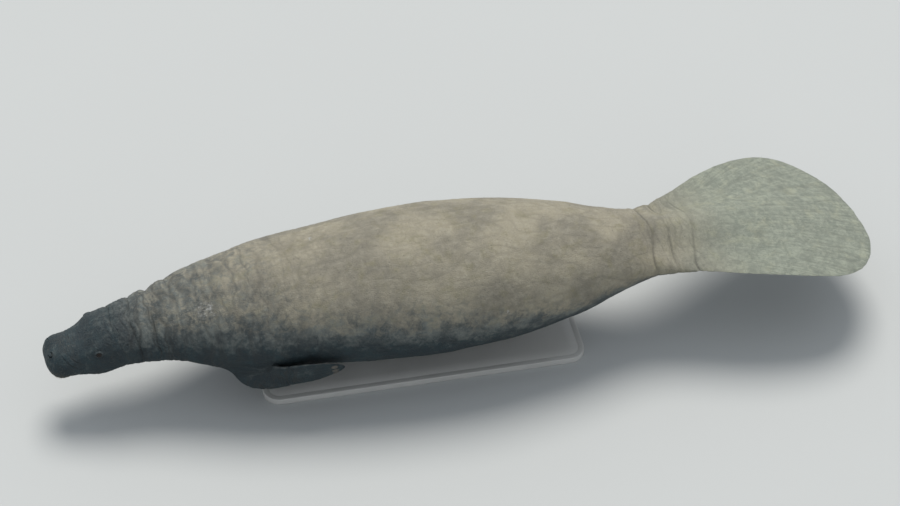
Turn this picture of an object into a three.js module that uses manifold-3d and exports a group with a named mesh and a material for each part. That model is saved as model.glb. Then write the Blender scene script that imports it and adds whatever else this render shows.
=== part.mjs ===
// A manatee, life size, swimming level with its tail on the down stroke, held by a plain display stand.
// Millimetres, +Z up, head towards -X, left side towards -Y.
// The origin is the centre of the stand's underside.
// Places and sizes on the body are shares of its length, unless a comment says mm.

import * as THREE from "three";
import { mergeVertices } from "three/addons/utils/BufferGeometryUtils.js";
import Module from "manifold-3d";

const wasm = await Module();
wasm.setup();

// Driving sizes in mm
const LENGTH = 3000; // along the spine, from the muzzle to the end of the paddle
const AXIS_HEIGHT = 325; // of the spine above the floor, at the pivot of the pose
const GAP = 0.3; // between pieces that touch
const PIVOT = 0.45; // of the length: where the spine lies level over AXIS_FORWARD
const AXIS_FORWARD = 30; // how far the pivot of the pose lies behind the stand's centre

// Pose: each bend of the spine in degrees, and the shares of the length between which it is made
const HEAD_NOD = { degrees: 8, from: 0.03, to: 0.36 }; // the head hangs below the line of the back
const HEAD_TURN = { degrees: 6, from: 0.02, to: 0.34 }; // and turns to its left
const STOCK_LIFT = { degrees: 3.5, from: 0.5, to: 0.7 }; // the tail stock climbs from the hips
const TAIL_STROKE = { degrees: 20.5, from: 0.725, to: 0.975 }; // and the paddle bends down from it
const TAIL_TURN = { degrees: 9, from: 0.62, to: 0.88 }; // and swings to its right

const radians = THREE.MathUtils.degToRad;
const smooth = (x, low, high) => THREE.MathUtils.smoothstep(x, low, high);

// The body's sections, from the muzzle's face to the end of the paddle.
// at: share of the length. side: half the width. above and below: heights over and under the spine.
const SECTIONS = [
  { name: "muzzle face", at: 0.0, side: 0.0215, above: 0.01, below: 0.0155 },
  { name: "muzzle pads", at: 0.014, side: 0.0245, above: 0.0145, below: 0.0195 },
  { name: "mouth corner", at: 0.034, side: 0.029, above: 0.019, below: 0.026 },
  { name: "bridge", at: 0.047, side: 0.0325, above: 0.0225, below: 0.0295 },
  { name: "eyes", at: 0.062, side: 0.037, above: 0.031, below: 0.032 },
  { name: "ears", at: 0.09, side: 0.041, above: 0.0365, below: 0.031 },
  { name: "neck", at: 0.13, side: 0.048, above: 0.043, below: 0.037 },
  { name: "shoulders", at: 0.2, side: 0.068, above: 0.054, below: 0.061 },
  { name: "chest", at: 0.3, side: 0.087, above: 0.068, below: 0.0745 },
  { name: "girth", at: 0.42, side: 0.098, above: 0.079, below: 0.081 },
  { name: "belly", at: 0.53, side: 0.094, above: 0.077, below: 0.0745 },
  { name: "hips", at: 0.625, side: 0.0765, above: 0.059, below: 0.0555 },
  { name: "tail stock", at: 0.675, side: 0.061, above: 0.042, below: 0.0405 },
  { name: "narrowest", at: 0.71, side: 0.0565, above: 0.0345, below: 0.033 },
  { name: "paddle root", at: 0.76, side: 0.069, above: 0.025, below: 0.024 },
  { name: "paddle", at: 0.82, side: 0.0945, above: 0.0175, below: 0.017 },
  { name: "paddle middle", at: 0.88, side: 0.1125, above: 0.012, below: 0.0115 },
  { name: "widest paddle", at: 0.94, side: 0.1225, above: 0.008, below: 0.0078 },
  { name: "rim", at: 1.0, side: 0.113, above: 0.0045, below: 0.0045 },
];

const NOSE_ROUND = 0.02; // share of the length in which the muzzle's face closes
const NOSE_BLUNT = 2.6; // 2 is a half circle, more is blunter
const RIM_ROUND = 0.14; // share of the length in which the paddle's end closes
const RIM_BLUNT = 2.6;
const BLADE_FROM = 0.67; // where the sections turn from ellipses to a flat blade
const BLADE_TO = 0.8;
const BLADE_EDGE = 0.0042; // half the thickness of the blade near its side edges
const BLADE_RIDGE = 0.42; // of the half width: how wide the thick middle of the blade is

// Soft swellings and hollows of the head and body. angle: degrees round the section, 0 right, 90 up.
// reach: how far the swelling spreads. height: how far it stands out, below 0 for a hollow.
const FORMS = [
  { name: "lip pad left", at: 0.012, angle: 214, reach: 0.0155, height: 0.0058 },
  { name: "lip pad right", at: 0.012, angle: -34, reach: 0.0155, height: 0.0058 },
  { name: "lip cleft", at: 0.009, angle: 270, reach: 0.0075, height: -0.0045 },
  { name: "snout top", at: 0.02, angle: 90, reach: 0.018, height: 0.0025 },
  { name: "nostril mound left", at: 0.0125, angle: 122, reach: 0.0105, height: 0.0035 },
  { name: "nostril mound right", at: 0.0125, angle: 58, reach: 0.0105, height: 0.0035 },
  { name: "bridge", at: 0.046, angle: 90, reach: 0.018, height: -0.0022 },
  { name: "cheek left", at: 0.052, angle: 215, reach: 0.02, height: 0.003 },
  { name: "cheek right", at: 0.052, angle: -35, reach: 0.02, height: 0.003 },
  { name: "chin", at: 0.032, angle: 270, reach: 0.016, height: 0.003 },
  { name: "brow left", at: 0.057, angle: 152, reach: 0.012, height: 0.0024 },
  { name: "brow right", at: 0.057, angle: 28, reach: 0.012, height: 0.0024 },
  { name: "shoulder left", at: 0.235, angle: 222, reach: 0.05, height: 0.007 },
  { name: "shoulder right", at: 0.235, angle: -42, reach: 0.05, height: 0.007 },
];

// Creases that run round the neck and the tail stock: where, how wide and how deep
const CREASES = [
  { at: 0.082, wide: 0.0045, deep: 0.0012 },
  { at: 0.104, wide: 0.005, deep: 0.0022 },
  { at: 0.128, wide: 0.0055, deep: 0.0026 },
  { at: 0.152, wide: 0.0055, deep: 0.0014 },
  { at: 0.716, wide: 0.006, deep: 0.0014 },
  { at: 0.741, wide: 0.006, deep: 0.0022 },
  { at: 0.767, wide: 0.006, deep: 0.0013 },
];

// The smooth curve through one column of a table, at a place between its rows
function column(table, key, at) {
  let i = 0;
  while (i < table.length - 2 && at > table[i + 1].at) i += 1;
  const slope = (k) => {
    const before = table[Math.max(k - 1, 0)];
    const after = table[Math.min(k + 1, table.length - 1)];
    return (after[key] - before[key]) / (after.at - before.at);
  };
  const step = table[i + 1].at - table[i].at;
  const t = (at - table[i].at) / step;
  const t2 = t * t;
  const t3 = t2 * t;
  return (
    (2 * t3 - 3 * t2 + 1) * table[i][key] +
    (t3 - 2 * t2 + t) * step * slope(i) +
    (3 * t2 - 2 * t3) * table[i + 1][key] +
    (t3 - t2) * step * slope(i + 1)
  );
}

const bent = (bend, at) => bend.degrees * smooth(at, bend.from, bend.to);

// The way the spine runs at a share of the length
function spineDirection(at) {
  const nod = HEAD_NOD.degrees - bent(HEAD_NOD, at);
  const climb = nod + bent(STOCK_LIFT, at) - bent(TAIL_STROKE, at);
  const turn = HEAD_TURN.degrees - bent(HEAD_TURN, at) + bent(TAIL_TURN, at);
  const up = radians(climb);
  const aside = radians(turn);
  return new THREE.Vector3(
    Math.cos(up) * Math.cos(aside),
    Math.cos(up) * Math.sin(aside),
    Math.sin(up),
  );
}

// The spine's points, summed in short steps from the pivot towards both ends
const SPINE_STEPS = 600;
const spinePoints = (() => {
  const points = [];
  const pivot = Math.round(PIVOT * SPINE_STEPS);
  points[pivot] = new THREE.Vector3(AXIS_FORWARD, 0, AXIS_HEIGHT);
  const step = LENGTH / SPINE_STEPS;
  for (let i = pivot; i < SPINE_STEPS; i += 1) {
    points[i + 1] = points[i].clone().addScaledVector(spineDirection((i + 0.5) / SPINE_STEPS), step);
  }
  for (let i = pivot; i > 0; i -= 1) {
    points[i - 1] = points[i].clone().addScaledVector(spineDirection((i - 0.5) / SPINE_STEPS), -step);
  }
  return points;
})();

function spinePoint(at) {
  const place = THREE.MathUtils.clamp(at, 0, 1) * SPINE_STEPS;
  const i = Math.min(Math.floor(place), SPINE_STEPS - 1);
  return spinePoints[i].clone().lerp(spinePoints[i + 1], place - i);
}

// The section's own axes at a place: along the spine, across to the right, and up
function spineFrame(at) {
  const along = spineDirection(at);
  const across = new THREE.Vector3(0, 0, 1).cross(along).normalize();
  return { along, across, up: along.clone().cross(across) };
}

// How far a section has closed near the muzzle's face and the paddle's end: 0 shut, 1 open
function closing(at) {
  const fromNose = Math.min(at / NOSE_ROUND, 1);
  const fromRim = Math.min((1 - at) / RIM_ROUND, 1);
  const nose = (1 - (1 - fromNose) ** NOSE_BLUNT) ** (1 / NOSE_BLUNT);
  const rim = (1 - (1 - fromRim) ** RIM_BLUNT) ** (1 / RIM_BLUNT);
  return { nose, rim };
}

// A point of the plain body, before its forms and creases
function plainPoint(at, angle) {
  const { nose, rim } = closing(at);
  const { across, up } = spineFrame(at);
  const c = Math.cos(angle);
  const s = Math.sin(angle);
  const side = column(SECTIONS, "side", at) * nose * rim;
  const height = column(SECTIONS, s > 0 ? "above" : "below", at) * nose;
  const ridge = Math.exp(-((c / BLADE_RIDGE) ** 2));
  const blade = BLADE_EDGE + (height - BLADE_EDGE) * ridge;
  const flat = smooth(at, BLADE_FROM, BLADE_TO);
  const tall = THREE.MathUtils.lerp(height, blade, flat) * Math.min(1, rim ** 0.5);
  return spinePoint(at)
    .addScaledVector(across, side * c * LENGTH)
    .addScaledVector(up, tall * s * LENGTH);
}

const formCentres = FORMS.map((form) => plainPoint(form.at, radians(form.angle)));

// The outward direction of the plain body is measured over short steps, never quite at its ends
const FIRST_PLACE = 0.0004;
const LAST_PLACE = 0.9998;
const STEP_ALONG = 0.002;
const STEP_ROUND = 0.03; // radians

// A point of the finished body. out moves it outwards by so many mm.
function bodyPoint(at, angle, out = 0) {
  const point = plainPoint(at, angle);
  const inside = THREE.MathUtils.clamp(at, FIRST_PLACE, LAST_PLACE);
  const before = Math.max(at - STEP_ALONG, FIRST_PLACE);
  const after = Math.min(inside + STEP_ALONG, LAST_PLACE);
  const along = plainPoint(after, angle).sub(plainPoint(before, angle));
  const round = plainPoint(inside, angle + STEP_ROUND).sub(plainPoint(inside, angle - STEP_ROUND));
  const normal = round.cross(along).normalize();
  if (at <= 0) normal.copy(spineDirection(0)).negate();
  if (at >= 1) normal.copy(spineDirection(1));
  let rise = out;
  FORMS.forEach((form, i) => {
    const far = point.distanceTo(formCentres[i]) / (form.reach * LENGTH);
    rise += form.height * LENGTH * Math.exp(-far * far);
  });
  for (const crease of CREASES) {
    const far = (at - crease.at) / crease.wide;
    rise -= crease.deep * LENGTH * Math.exp(-far * far);
  }
  return point.addScaledVector(normal, rise);
}

// A closed mesh from rings of points, each ring given from first to last with the same count.
// A ring of one point closes an end in a point, and any other end is closed flat.
function loft(rings) {
  const points = [];
  const faces = [];
  const starts = rings.map((ring) => {
    const start = points.length;
    points.push(...ring);
    return start;
  });
  for (let i = 0; i + 1 < rings.length; i += 1) {
    const count = Math.max(rings[i].length, rings[i + 1].length);
    for (let j = 0; j < count; j += 1) {
      const k = (j + 1) % count;
      const here = (n) => starts[i] + (rings[i].length === 1 ? 0 : n);
      const next = (n) => starts[i + 1] + (rings[i + 1].length === 1 ? 0 : n);
      if (rings[i].length > 1) faces.push(here(j), here(k), next(j));
      if (rings[i + 1].length > 1) faces.push(here(k), next(k), next(j));
    }
  }
  const cap = (ring, start, facing) => {
    if (ring.length === 1) return;
    const middle = ring.reduce((sum, p) => sum.add(p), new THREE.Vector3());
    points.push(middle.divideScalar(ring.length));
    const centre = points.length - 1;
    ring.forEach((_, j) => {
      const a = start + j;
      const b = start + ((j + 1) % ring.length);
      faces.push(centre, ...(facing ? [a, b] : [b, a]));
    });
  };
  cap(rings[0], starts[0], false);
  cap(rings[rings.length - 1], starts[rings.length - 1], true);
  const geometry = new THREE.BufferGeometry();
  const places = points.flatMap((p) => [p.x, p.y, p.z]);
  geometry.setAttribute("position", new THREE.Float32BufferAttribute(places, 3));
  geometry.setIndex(faces);
  return geometry;
}

// Three.js geometry to a manifold solid, and back
function solid(geometry) {
  const bare = geometry.clone();
  bare.deleteAttribute("normal");
  bare.deleteAttribute("uv");
  const merged = mergeVertices(bare, 1e-3);
  return new wasm.Manifold(
    new wasm.Mesh({
      numProp: 3,
      vertProperties: merged.attributes.position.array,
      triVerts: new Uint32Array(merged.index.array),
    }),
  );
}

function geometryOf(body) {
  const largest = body.decompose().reduce((a, b) => (a.volume() > b.volume() ? a : b));
  const mesh = largest.getMesh();
  const geometry = new THREE.BufferGeometry();
  geometry.setAttribute("position", new THREE.BufferAttribute(mesh.vertProperties, 3));
  geometry.setIndex(new THREE.BufferAttribute(mesh.triVerts, 1));
  geometry.computeVertexNormals();
  return geometry;
}

// Places of the rings between two shares of the length, evenly spaced, or closer at a rounded end
function places(from, to, count, end = "none") {
  const list = [];
  for (let i = 0; i <= count; i += 1) {
    const t = i / count;
    const turn = (t * Math.PI) / 2;
    const eased = { none: t, nose: 1 - Math.cos(turn), rim: Math.sin(turn) };
    list.push(from + (to - from) * eased[end]);
  }
  return list;
}

const AROUND = 44; // points round a section

function bodyRings(list, out = 0) {
  return list.map((at) => {
    if (at <= 0 || at >= 1) return [bodyPoint(at, 0, out)];
    return Array.from({ length: AROUND }, (_, j) => bodyPoint(at, (j / AROUND) * Math.PI * 2, out));
  });
}

// Where the body is parted
const HEAD_END = 0.105;
const NECK_END = 0.165;
const TORSO_END = 0.665;
const STOCK_END = 0.765;
const HALF_GAP = GAP / 2 / LENGTH;

// How many rings each length of the body has
const FACE_RINGS = 9;
const HEAD_RINGS = 22;
const NECK_RINGS = 12;
const TORSO_RINGS = 27;
const STOCK_RINGS = 14;
const PADDLE_RINGS = 8;
const RIM_RINGS = 11;

const faceList = places(0, NOSE_ROUND, FACE_RINGS, "nose");
const headList = places(NOSE_ROUND, HEAD_END - HALF_GAP, HEAD_RINGS).slice(1);
const neckList = places(HEAD_END + HALF_GAP, NECK_END - HALF_GAP, NECK_RINGS);
const torsoList = places(NECK_END + HALF_GAP, TORSO_END - HALF_GAP, TORSO_RINGS);
const stockList = places(TORSO_END + HALF_GAP, STOCK_END - HALF_GAP, STOCK_RINGS);
const paddleList = places(STOCK_END + HALF_GAP, 1 - RIM_ROUND, PADDLE_RINGS);
const rimList = places(1 - RIM_ROUND, 1, RIM_RINGS, "rim").slice(1);

const bodySolid = (list, out = 0) => solid(loft(bodyRings(list, out)));

// The left flipper, from the shoulder back along the flank. The right one is its mirror image.
const SHOULDER_AT = 0.23; // share of the body's length
const SHOULDER_ANGLE = 34; // degrees below the widest line of the flank
const FLIPPER_SUNK = 62; // mm of the arm inside the body
const ELBOW = new THREE.Vector3(60, -30, -8); // mm from the shoulder
const WRIST = new THREE.Vector3(165, -56, 6);
const TIP = new THREE.Vector3(316, -72, 26);
const ROOT_CHORD = new THREE.Vector3(-0.85, 0, -0.45); // towards the leading edge
const HAND_CHORD = new THREE.Vector3(-0.1, 0.4, -0.91);
const TWIST_FROM = 0.1; // share of the flipper where the chord starts to turn
const TWIST_TO = 0.6;
const FLIPPER_SECTIONS = [
  { name: "root", at: 0.0, chord: 56, thick: 46 },
  { name: "armpit", at: 0.2, chord: 54, thick: 38 },
  { name: "elbow", at: 0.42, chord: 58, thick: 27 },
  { name: "wrist", at: 0.68, chord: 68, thick: 19 },
  { name: "hand", at: 0.86, chord: 62, thick: 13 },
  { name: "tip", at: 1.0, chord: 50, thick: 8 },
]; // half sizes in mm
const TIP_ROUND = 0.4; // share of the flipper in which its tip closes
const LEADING_EDGE = 0.3; // how much thicker than the middle the leading half is
const ARM_RINGS = 11;
const TIP_RINGS = 9;
const FLIPPER_AROUND = 22;

const mirrored = (v, side) => new THREE.Vector3(v.x, -side * v.y, v.z);

// side is -1 for the left flipper and 1 for the right one
function flipperPath(side) {
  const angle = side < 0 ? 180 + SHOULDER_ANGLE : -SHOULDER_ANGLE;
  const shoulder = bodyPoint(SHOULDER_AT, radians(angle));
  const inside = shoulder.clone().sub(spinePoint(SHOULDER_AT)).setLength(FLIPPER_SUNK);
  return new THREE.CatmullRomCurve3([
    shoulder.clone().sub(inside),
    shoulder,
    shoulder.clone().add(mirrored(ELBOW, side)),
    shoulder.clone().add(mirrored(WRIST, side)),
    shoulder.clone().add(mirrored(TIP, side)),
  ]);
}

// A point of a flipper. turn: radians round its section from the leading edge over the outer face
function flipperPoint(path, side, at, turn) {
  const along = path.getTangentAt(at);
  const root = mirrored(ROOT_CHORD, side);
  const chord = root.lerp(mirrored(HAND_CHORD, side), smooth(at, TWIST_FROM, TWIST_TO));
  chord.addScaledVector(along, -chord.dot(along)).normalize();
  const face = chord.clone().cross(along).multiplyScalar(-side);
  const closing = Math.max((at - (1 - TIP_ROUND)) / TIP_ROUND, 0);
  const open = Math.sqrt(Math.max(1 - closing ** 2, 0));
  const wide = column(FLIPPER_SECTIONS, "chord", at) * open;
  const thick = column(FLIPPER_SECTIONS, "thick", at) * Math.sqrt(open);
  const c = Math.cos(turn);
  return path
    .getPointAt(at)
    .addScaledVector(chord, wide * c)
    .addScaledVector(face, thick * Math.sin(turn) * (1 + LEADING_EDGE * c));
}

function flipperSolid(side) {
  const path = flipperPath(side);
  const list = [
    ...places(0, 1 - TIP_ROUND, ARM_RINGS),
    ...places(1 - TIP_ROUND, 1, TIP_RINGS, "rim").slice(1),
  ];
  const rings = list.map((at) => {
    if (at >= 1) return [path.getPointAt(1)];
    return Array.from({ length: FLIPPER_AROUND }, (_, j) =>
      flipperPoint(path, side, at, (side * j * Math.PI * 2) / FLIPPER_AROUND),
    );
  });
  return solid(loft(rings));
}

// An ellipsoid of half sizes in mm with its axes along given directions, made bigger by out
function ellipsoid(centre, axes, half, out, segments) {
  const ball = new THREE.SphereGeometry(1, segments, Math.ceil(segments / 2));
  const [x, y, z] = axes.map((axis, i) => axis.clone().setLength(half[i] + out));
  const matrix = new THREE.Matrix4().makeBasis(x, y, z).setPosition(centre);
  return solid(ball.applyMatrix4(matrix));
}

// The skin's outward direction at a place on the body
function outward(at, angle) {
  return bodyPoint(at, angle, 1).sub(bodyPoint(at, angle, 0)).normalize();
}

// A bent round bar through points, with closed ends
function bar(points, radius, steps) {
  const section = new THREE.Shape().absarc(0, 0, radius, 0, Math.PI * 2);
  const extrudePath = new THREE.CatmullRomCurve3(points);
  const options = { extrudePath, steps, curveSegments: 4, bevelEnabled: false };
  return solid(new THREE.ExtrudeGeometry(section, options));
}

// Eyes: a ball deep in the head behind a raised round lid
const EYE_AT = 0.0605;
const EYE_ANGLE = 24; // degrees above the widest line of the head
const EYE_RADIUS = 12.5; // mm
const EYE_SUNK = 8.5; // mm from the skin to the middle of the ball
const EYE_SEGMENTS = 16;
const LID_RADIUS = 11.5; // mm
const LID_THICK = 4.6; // mm, half the thickness of the ring
const LID_SUNK = 1.8; // mm

// side is -1 for the left, 1 for the right
const sideAngle = (degrees, side) => radians(side < 0 ? 180 - degrees : degrees);

function eyeball(side, out = 0) {
  const angle = sideAngle(EYE_ANGLE, side);
  const centre = bodyPoint(EYE_AT, angle, -EYE_SUNK);
  const { along, across, up } = spineFrame(EYE_AT);
  const half = [EYE_RADIUS, EYE_RADIUS, EYE_RADIUS];
  return ellipsoid(centre, [along, across, up], half, out, EYE_SEGMENTS);
}

function lid(side) {
  const angle = sideAngle(EYE_ANGLE, side);
  const ring = new THREE.TorusGeometry(LID_RADIUS, LID_THICK, 8, 20);
  const facing = new THREE.Quaternion().setFromUnitVectors(
    new THREE.Vector3(0, 0, 1),
    outward(EYE_AT, angle),
  );
  const centre = bodyPoint(EYE_AT, angle, -LID_SUNK);
  return solid(ring.applyQuaternion(facing).translate(centre.x, centre.y, centre.z));
}

// Mouth: a groove under the muzzle, from corner to corner
const MOUTH_FRONT = 0.0125; // share of the length, under the middle of the lip
const MOUTH_BACK = 0.0385; // and at its corners
const MOUTH_SPREAD = 60; // degrees from the middle of the underside to a corner
const MOUTH_CURVE = 1.5; // how late the line runs back from the middle
const MOUTH_GROOVE = 4; // mm
const MOUTH_POINTS = 12;
const MOUTH_STEPS = 40;

// A point of the mouth's line. t: -1 at the left corner, 1 at the right one
function mouthPoint(t) {
  const at = MOUTH_FRONT + (MOUTH_BACK - MOUTH_FRONT) * Math.abs(t) ** MOUTH_CURVE;
  return bodyPoint(at, radians(270 + MOUTH_SPREAD * t));
}

function mouth() {
  const points = Array.from({ length: MOUTH_POINTS + 1 }, (_, i) =>
    mouthPoint((2 * i) / MOUTH_POINTS - 1),
  );
  return bar(points, MOUTH_GROOVE, MOUTH_STEPS);
}

// Nostrils: each a shut valve, a crescent slit open towards the middle
const NOSTRIL_AT = 0.0092;
const NOSTRIL_ANGLE = 60; // degrees above the widest line
const NOSTRIL_RADIUS = 10; // mm
const NOSTRIL_FLAT = 0.8; // its height over its width
const NOSTRIL_SLIT = 3.2; // mm, half the width of the slit
const NOSTRIL_SUNK = 1.4; // mm
const NOSTRIL_ARC = 230; // degrees
const NOSTRIL_POINTS = 8;
const NOSTRIL_STEPS = 14;

function nostril(side) {
  const angle = sideAngle(NOSTRIL_ANGLE, side);
  const centre = bodyPoint(NOSTRIL_AT, angle, -NOSTRIL_SUNK);
  const out = outward(NOSTRIL_AT, angle);
  const across = spineFrame(NOSTRIL_AT).across.clone().multiplyScalar(side);
  across.addScaledVector(out, -across.dot(out)).normalize();
  const over = out.clone().cross(across);
  const points = Array.from({ length: NOSTRIL_POINTS + 1 }, (_, i) => {
    const turn = radians(NOSTRIL_ARC * (i / NOSTRIL_POINTS - 0.5));
    return centre
      .clone()
      .addScaledVector(across, Math.cos(turn) * NOSTRIL_RADIUS)
      .addScaledVector(over, Math.sin(turn) * NOSTRIL_RADIUS * NOSTRIL_FLAT);
  });
  return bar(points, NOSTRIL_SLIT, NOSTRIL_STEPS);
}

// Ears: a small open hole behind each eye, with no outer flap
const EAR_AT = 0.094;
const EAR_ANGLE = 27; // degrees above the widest line
const EAR_HALF = [5.2, 4, 4]; // mm along the head, across it and up
const EAR_SEGMENTS = 10;

function ear(side) {
  const { along, across, up } = spineFrame(EAR_AT);
  const centre = bodyPoint(EAR_AT, sideAngle(EAR_ANGLE, side));
  return ellipsoid(centre, [along, across, up], EAR_HALF, 0, EAR_SEGMENTS);
}

const SIDES = { left: -1, right: 1 };

function headSolid() {
  let head = bodySolid([...faceList, ...headList]);
  for (const side of Object.values(SIDES)) {
    head = head.add(lid(side));
    head = head.subtract(eyeball(side, GAP));
    head = head.subtract(nostril(side));
    head = head.subtract(ear(side));
  }
  return head.subtract(mouth());
}

// Nails: three flat ovals on the outer face of each hand, each in its own bed
const NAIL_COUNT = 3;
const NAIL_AT = 0.915; // share of the flipper's length
const NAIL_FIRST = 55; // degrees round the flipper's section
const NAIL_LAST = 125;
const NAIL_HALF = [12, 8.5, 4.2]; // mm along the hand, across it, and through it
const NAIL_STEP = 0.02; // share of the flipper over which its slope is measured
const NAIL_TURN = 0.1; // radians, the same round the section
const NAIL_SEGMENTS = 12;

function nail(side, index, out = 0) {
  const path = flipperPath(side);
  const turn = radians(NAIL_FIRST + ((NAIL_LAST - NAIL_FIRST) * index) / (NAIL_COUNT - 1));
  const centre = flipperPoint(path, side, NAIL_AT, turn);
  const ahead = flipperPoint(path, side, NAIL_AT + NAIL_STEP, turn).sub(centre).normalize();
  const aside = flipperPoint(path, side, NAIL_AT, turn + NAIL_TURN).sub(centre);
  aside.addScaledVector(ahead, -aside.dot(ahead)).normalize();
  const through = ahead.clone().cross(aside);
  return ellipsoid(centre, [ahead, aside, through], NAIL_HALF, out, NAIL_SEGMENTS);
}

// The stand, in mm: a low plate, and two rods with a foot and a saddle each under the belly
const PLATE_LONG = 1160;
const PLATE_WIDE = 400;
const PLATE_THICK = 24;
const PLATE_CORNER = 60;
const PLATE_EDGE = 3;
const ROD_PLACES = { front: -300, rear: 330 }; // along X
const ROD_RADIUS = 20;
const FOOT_RADIUS = 46;
const FOOT_THICK = 10;
const SADDLE_RADIUS = 52;
const SADDLE_THICK = 24; // from the saddle's underside to the belly over its middle
const ROUND_SEGMENTS = 28;
const CORNER_SEGMENTS = 8;

function plate() {
  const x = PLATE_LONG / 2 - PLATE_EDGE - PLATE_CORNER;
  const y = PLATE_WIDE / 2 - PLATE_EDGE - PLATE_CORNER;
  const quarter = Math.PI / 2;
  const outline = new THREE.Shape()
    .absarc(x, y, PLATE_CORNER, 0, quarter)
    .absarc(-x, y, PLATE_CORNER, quarter, 2 * quarter)
    .absarc(-x, -y, PLATE_CORNER, 2 * quarter, 3 * quarter)
    .absarc(x, -y, PLATE_CORNER, 3 * quarter, 4 * quarter);
  const body = new THREE.ExtrudeGeometry(outline, {
    depth: PLATE_THICK - 2 * PLATE_EDGE,
    bevelThickness: PLATE_EDGE,
    bevelSize: PLATE_EDGE,
    bevelSegments: 1,
    curveSegments: CORNER_SEGMENTS,
  });
  return solid(body.translate(0, 0, PLATE_EDGE));
}

function upright(x, radius, bottom, top) {
  const tall = top - bottom;
  const cylinder = new THREE.CylinderGeometry(radius, radius, tall, ROUND_SEGMENTS);
  return solid(cylinder.rotateX(Math.PI / 2).translate(x, 0, bottom + tall / 2));
}

// The height of the belly's middle line over the floor, above a place on the plate
function bellyHeight(x) {
  let at = 0;
  while (spinePoint(at).x < x) at += 0.001;
  return bodyPoint(at, radians(270)).z;
}

const skin = new THREE.MeshStandardMaterial({ color: 0x5f5a50, roughness: 0.7, metalness: 0 });
const eyeGloss = new THREE.MeshStandardMaterial({ color: 0x120e0b, roughness: 0.1, metalness: 0 });
const horn = new THREE.MeshStandardMaterial({ color: 0x8d8374, roughness: 0.45, metalness: 0 });
const paint = new THREE.MeshStandardMaterial({ color: 0xc9c7c1, roughness: 0.55, metalness: 0 });
const steel = new THREE.MeshStandardMaterial({ color: 0xb4b6b8, roughness: 0.35, metalness: 1 });

const manatee = new THREE.Group();

function add(name, body, material) {
  const mesh = new THREE.Mesh(geometryOf(body), material);
  mesh.name = name;
  manatee.add(mesh);
}

add("head", headSolid(), skin);
add("neck", bodySolid(neckList), skin);
add("torso", bodySolid(torsoList), skin);
add("tail_stock", bodySolid(stockList), skin);
add("tail_paddle", bodySolid([...paddleList, ...rimList]), skin);

const clearOfTorso = bodySolid(torsoList, GAP);
for (const [name, side] of Object.entries(SIDES)) {
  add(`eye_${name}`, eyeball(side), eyeGloss);
  let flipper = flipperSolid(side).subtract(clearOfTorso);
  for (let i = 0; i < NAIL_COUNT; i += 1) {
    flipper = flipper.subtract(nail(side, i, GAP));
    add(`nail_${name}_${i + 1}`, nail(side, i), horn);
  }
  add(`flipper_${name}`, flipper, skin);
}

const footBottom = PLATE_THICK + GAP;
const rodBottom = footBottom + FOOT_THICK + GAP;
add("stand_base", plate(), paint);
for (const [name, x] of Object.entries(ROD_PLACES)) {
  const saddleBottom = bellyHeight(x) - SADDLE_THICK;
  const block = upright(x, SADDLE_RADIUS, saddleBottom, saddleBottom + 3 * SADDLE_THICK);
  add(`stand_foot_${name}`, upright(x, FOOT_RADIUS, footBottom, footBottom + FOOT_THICK), steel);
  add(`stand_rod_${name}`, upright(x, ROD_RADIUS, rodBottom, saddleBottom - GAP), steel);
  add(`stand_saddle_${name}`, block.subtract(clearOfTorso), steel);
}

export default manatee;
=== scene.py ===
import functools
import itertools
import math
from types import SimpleNamespace

import bpy
import numpy as np
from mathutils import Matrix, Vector
from mathutils.bvhtree import BVHTree


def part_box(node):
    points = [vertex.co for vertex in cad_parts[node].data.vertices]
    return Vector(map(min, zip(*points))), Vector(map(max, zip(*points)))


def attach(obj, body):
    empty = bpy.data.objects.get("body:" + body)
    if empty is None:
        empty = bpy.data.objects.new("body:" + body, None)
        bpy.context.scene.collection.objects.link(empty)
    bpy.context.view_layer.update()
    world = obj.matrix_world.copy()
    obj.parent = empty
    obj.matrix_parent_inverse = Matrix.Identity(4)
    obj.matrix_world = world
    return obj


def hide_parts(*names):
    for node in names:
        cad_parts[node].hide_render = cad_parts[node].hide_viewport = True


bl_info = {
    "name": "Display Manatee",
    "version": (1, 0, 0),
    "blender": (4, 5, 0),
    "location": "View3D > Sidebar > Manatee",
    "description": "Makes a life-size manatee that swims over a low display stand",
    "category": "Object",
}

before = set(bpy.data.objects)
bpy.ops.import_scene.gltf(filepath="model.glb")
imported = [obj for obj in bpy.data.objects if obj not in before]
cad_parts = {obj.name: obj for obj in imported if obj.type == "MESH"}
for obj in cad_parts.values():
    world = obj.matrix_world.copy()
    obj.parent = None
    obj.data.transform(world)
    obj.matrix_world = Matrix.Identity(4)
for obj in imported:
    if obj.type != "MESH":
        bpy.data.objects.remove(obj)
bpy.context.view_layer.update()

MM = 0.001
FULL_TURN = 2 * math.pi
SIDES = {"left": -1, "right": 1}

# The body's driving sizes in metres. Places on the body are shares of its length.
LENGTH = 3.0
AXIS_HEIGHT = 0.325  # of the spine above the floor, at the pivot of the pose
AXIS_FORWARD = 0.03
PIVOT = 0.45
SPINE_STEPS = 600

# Each bend of the spine: degrees, and the places between which it is made
HEAD_NOD = (8, 0.03, 0.36)
HEAD_TURN = (6, 0.02, 0.34)
STOCK_LIFT = (3.5, 0.5, 0.7)
TAIL_STROKE = (20.5, 0.725, 0.975)
TAIL_TURN = (9, 0.62, 0.88)

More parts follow.
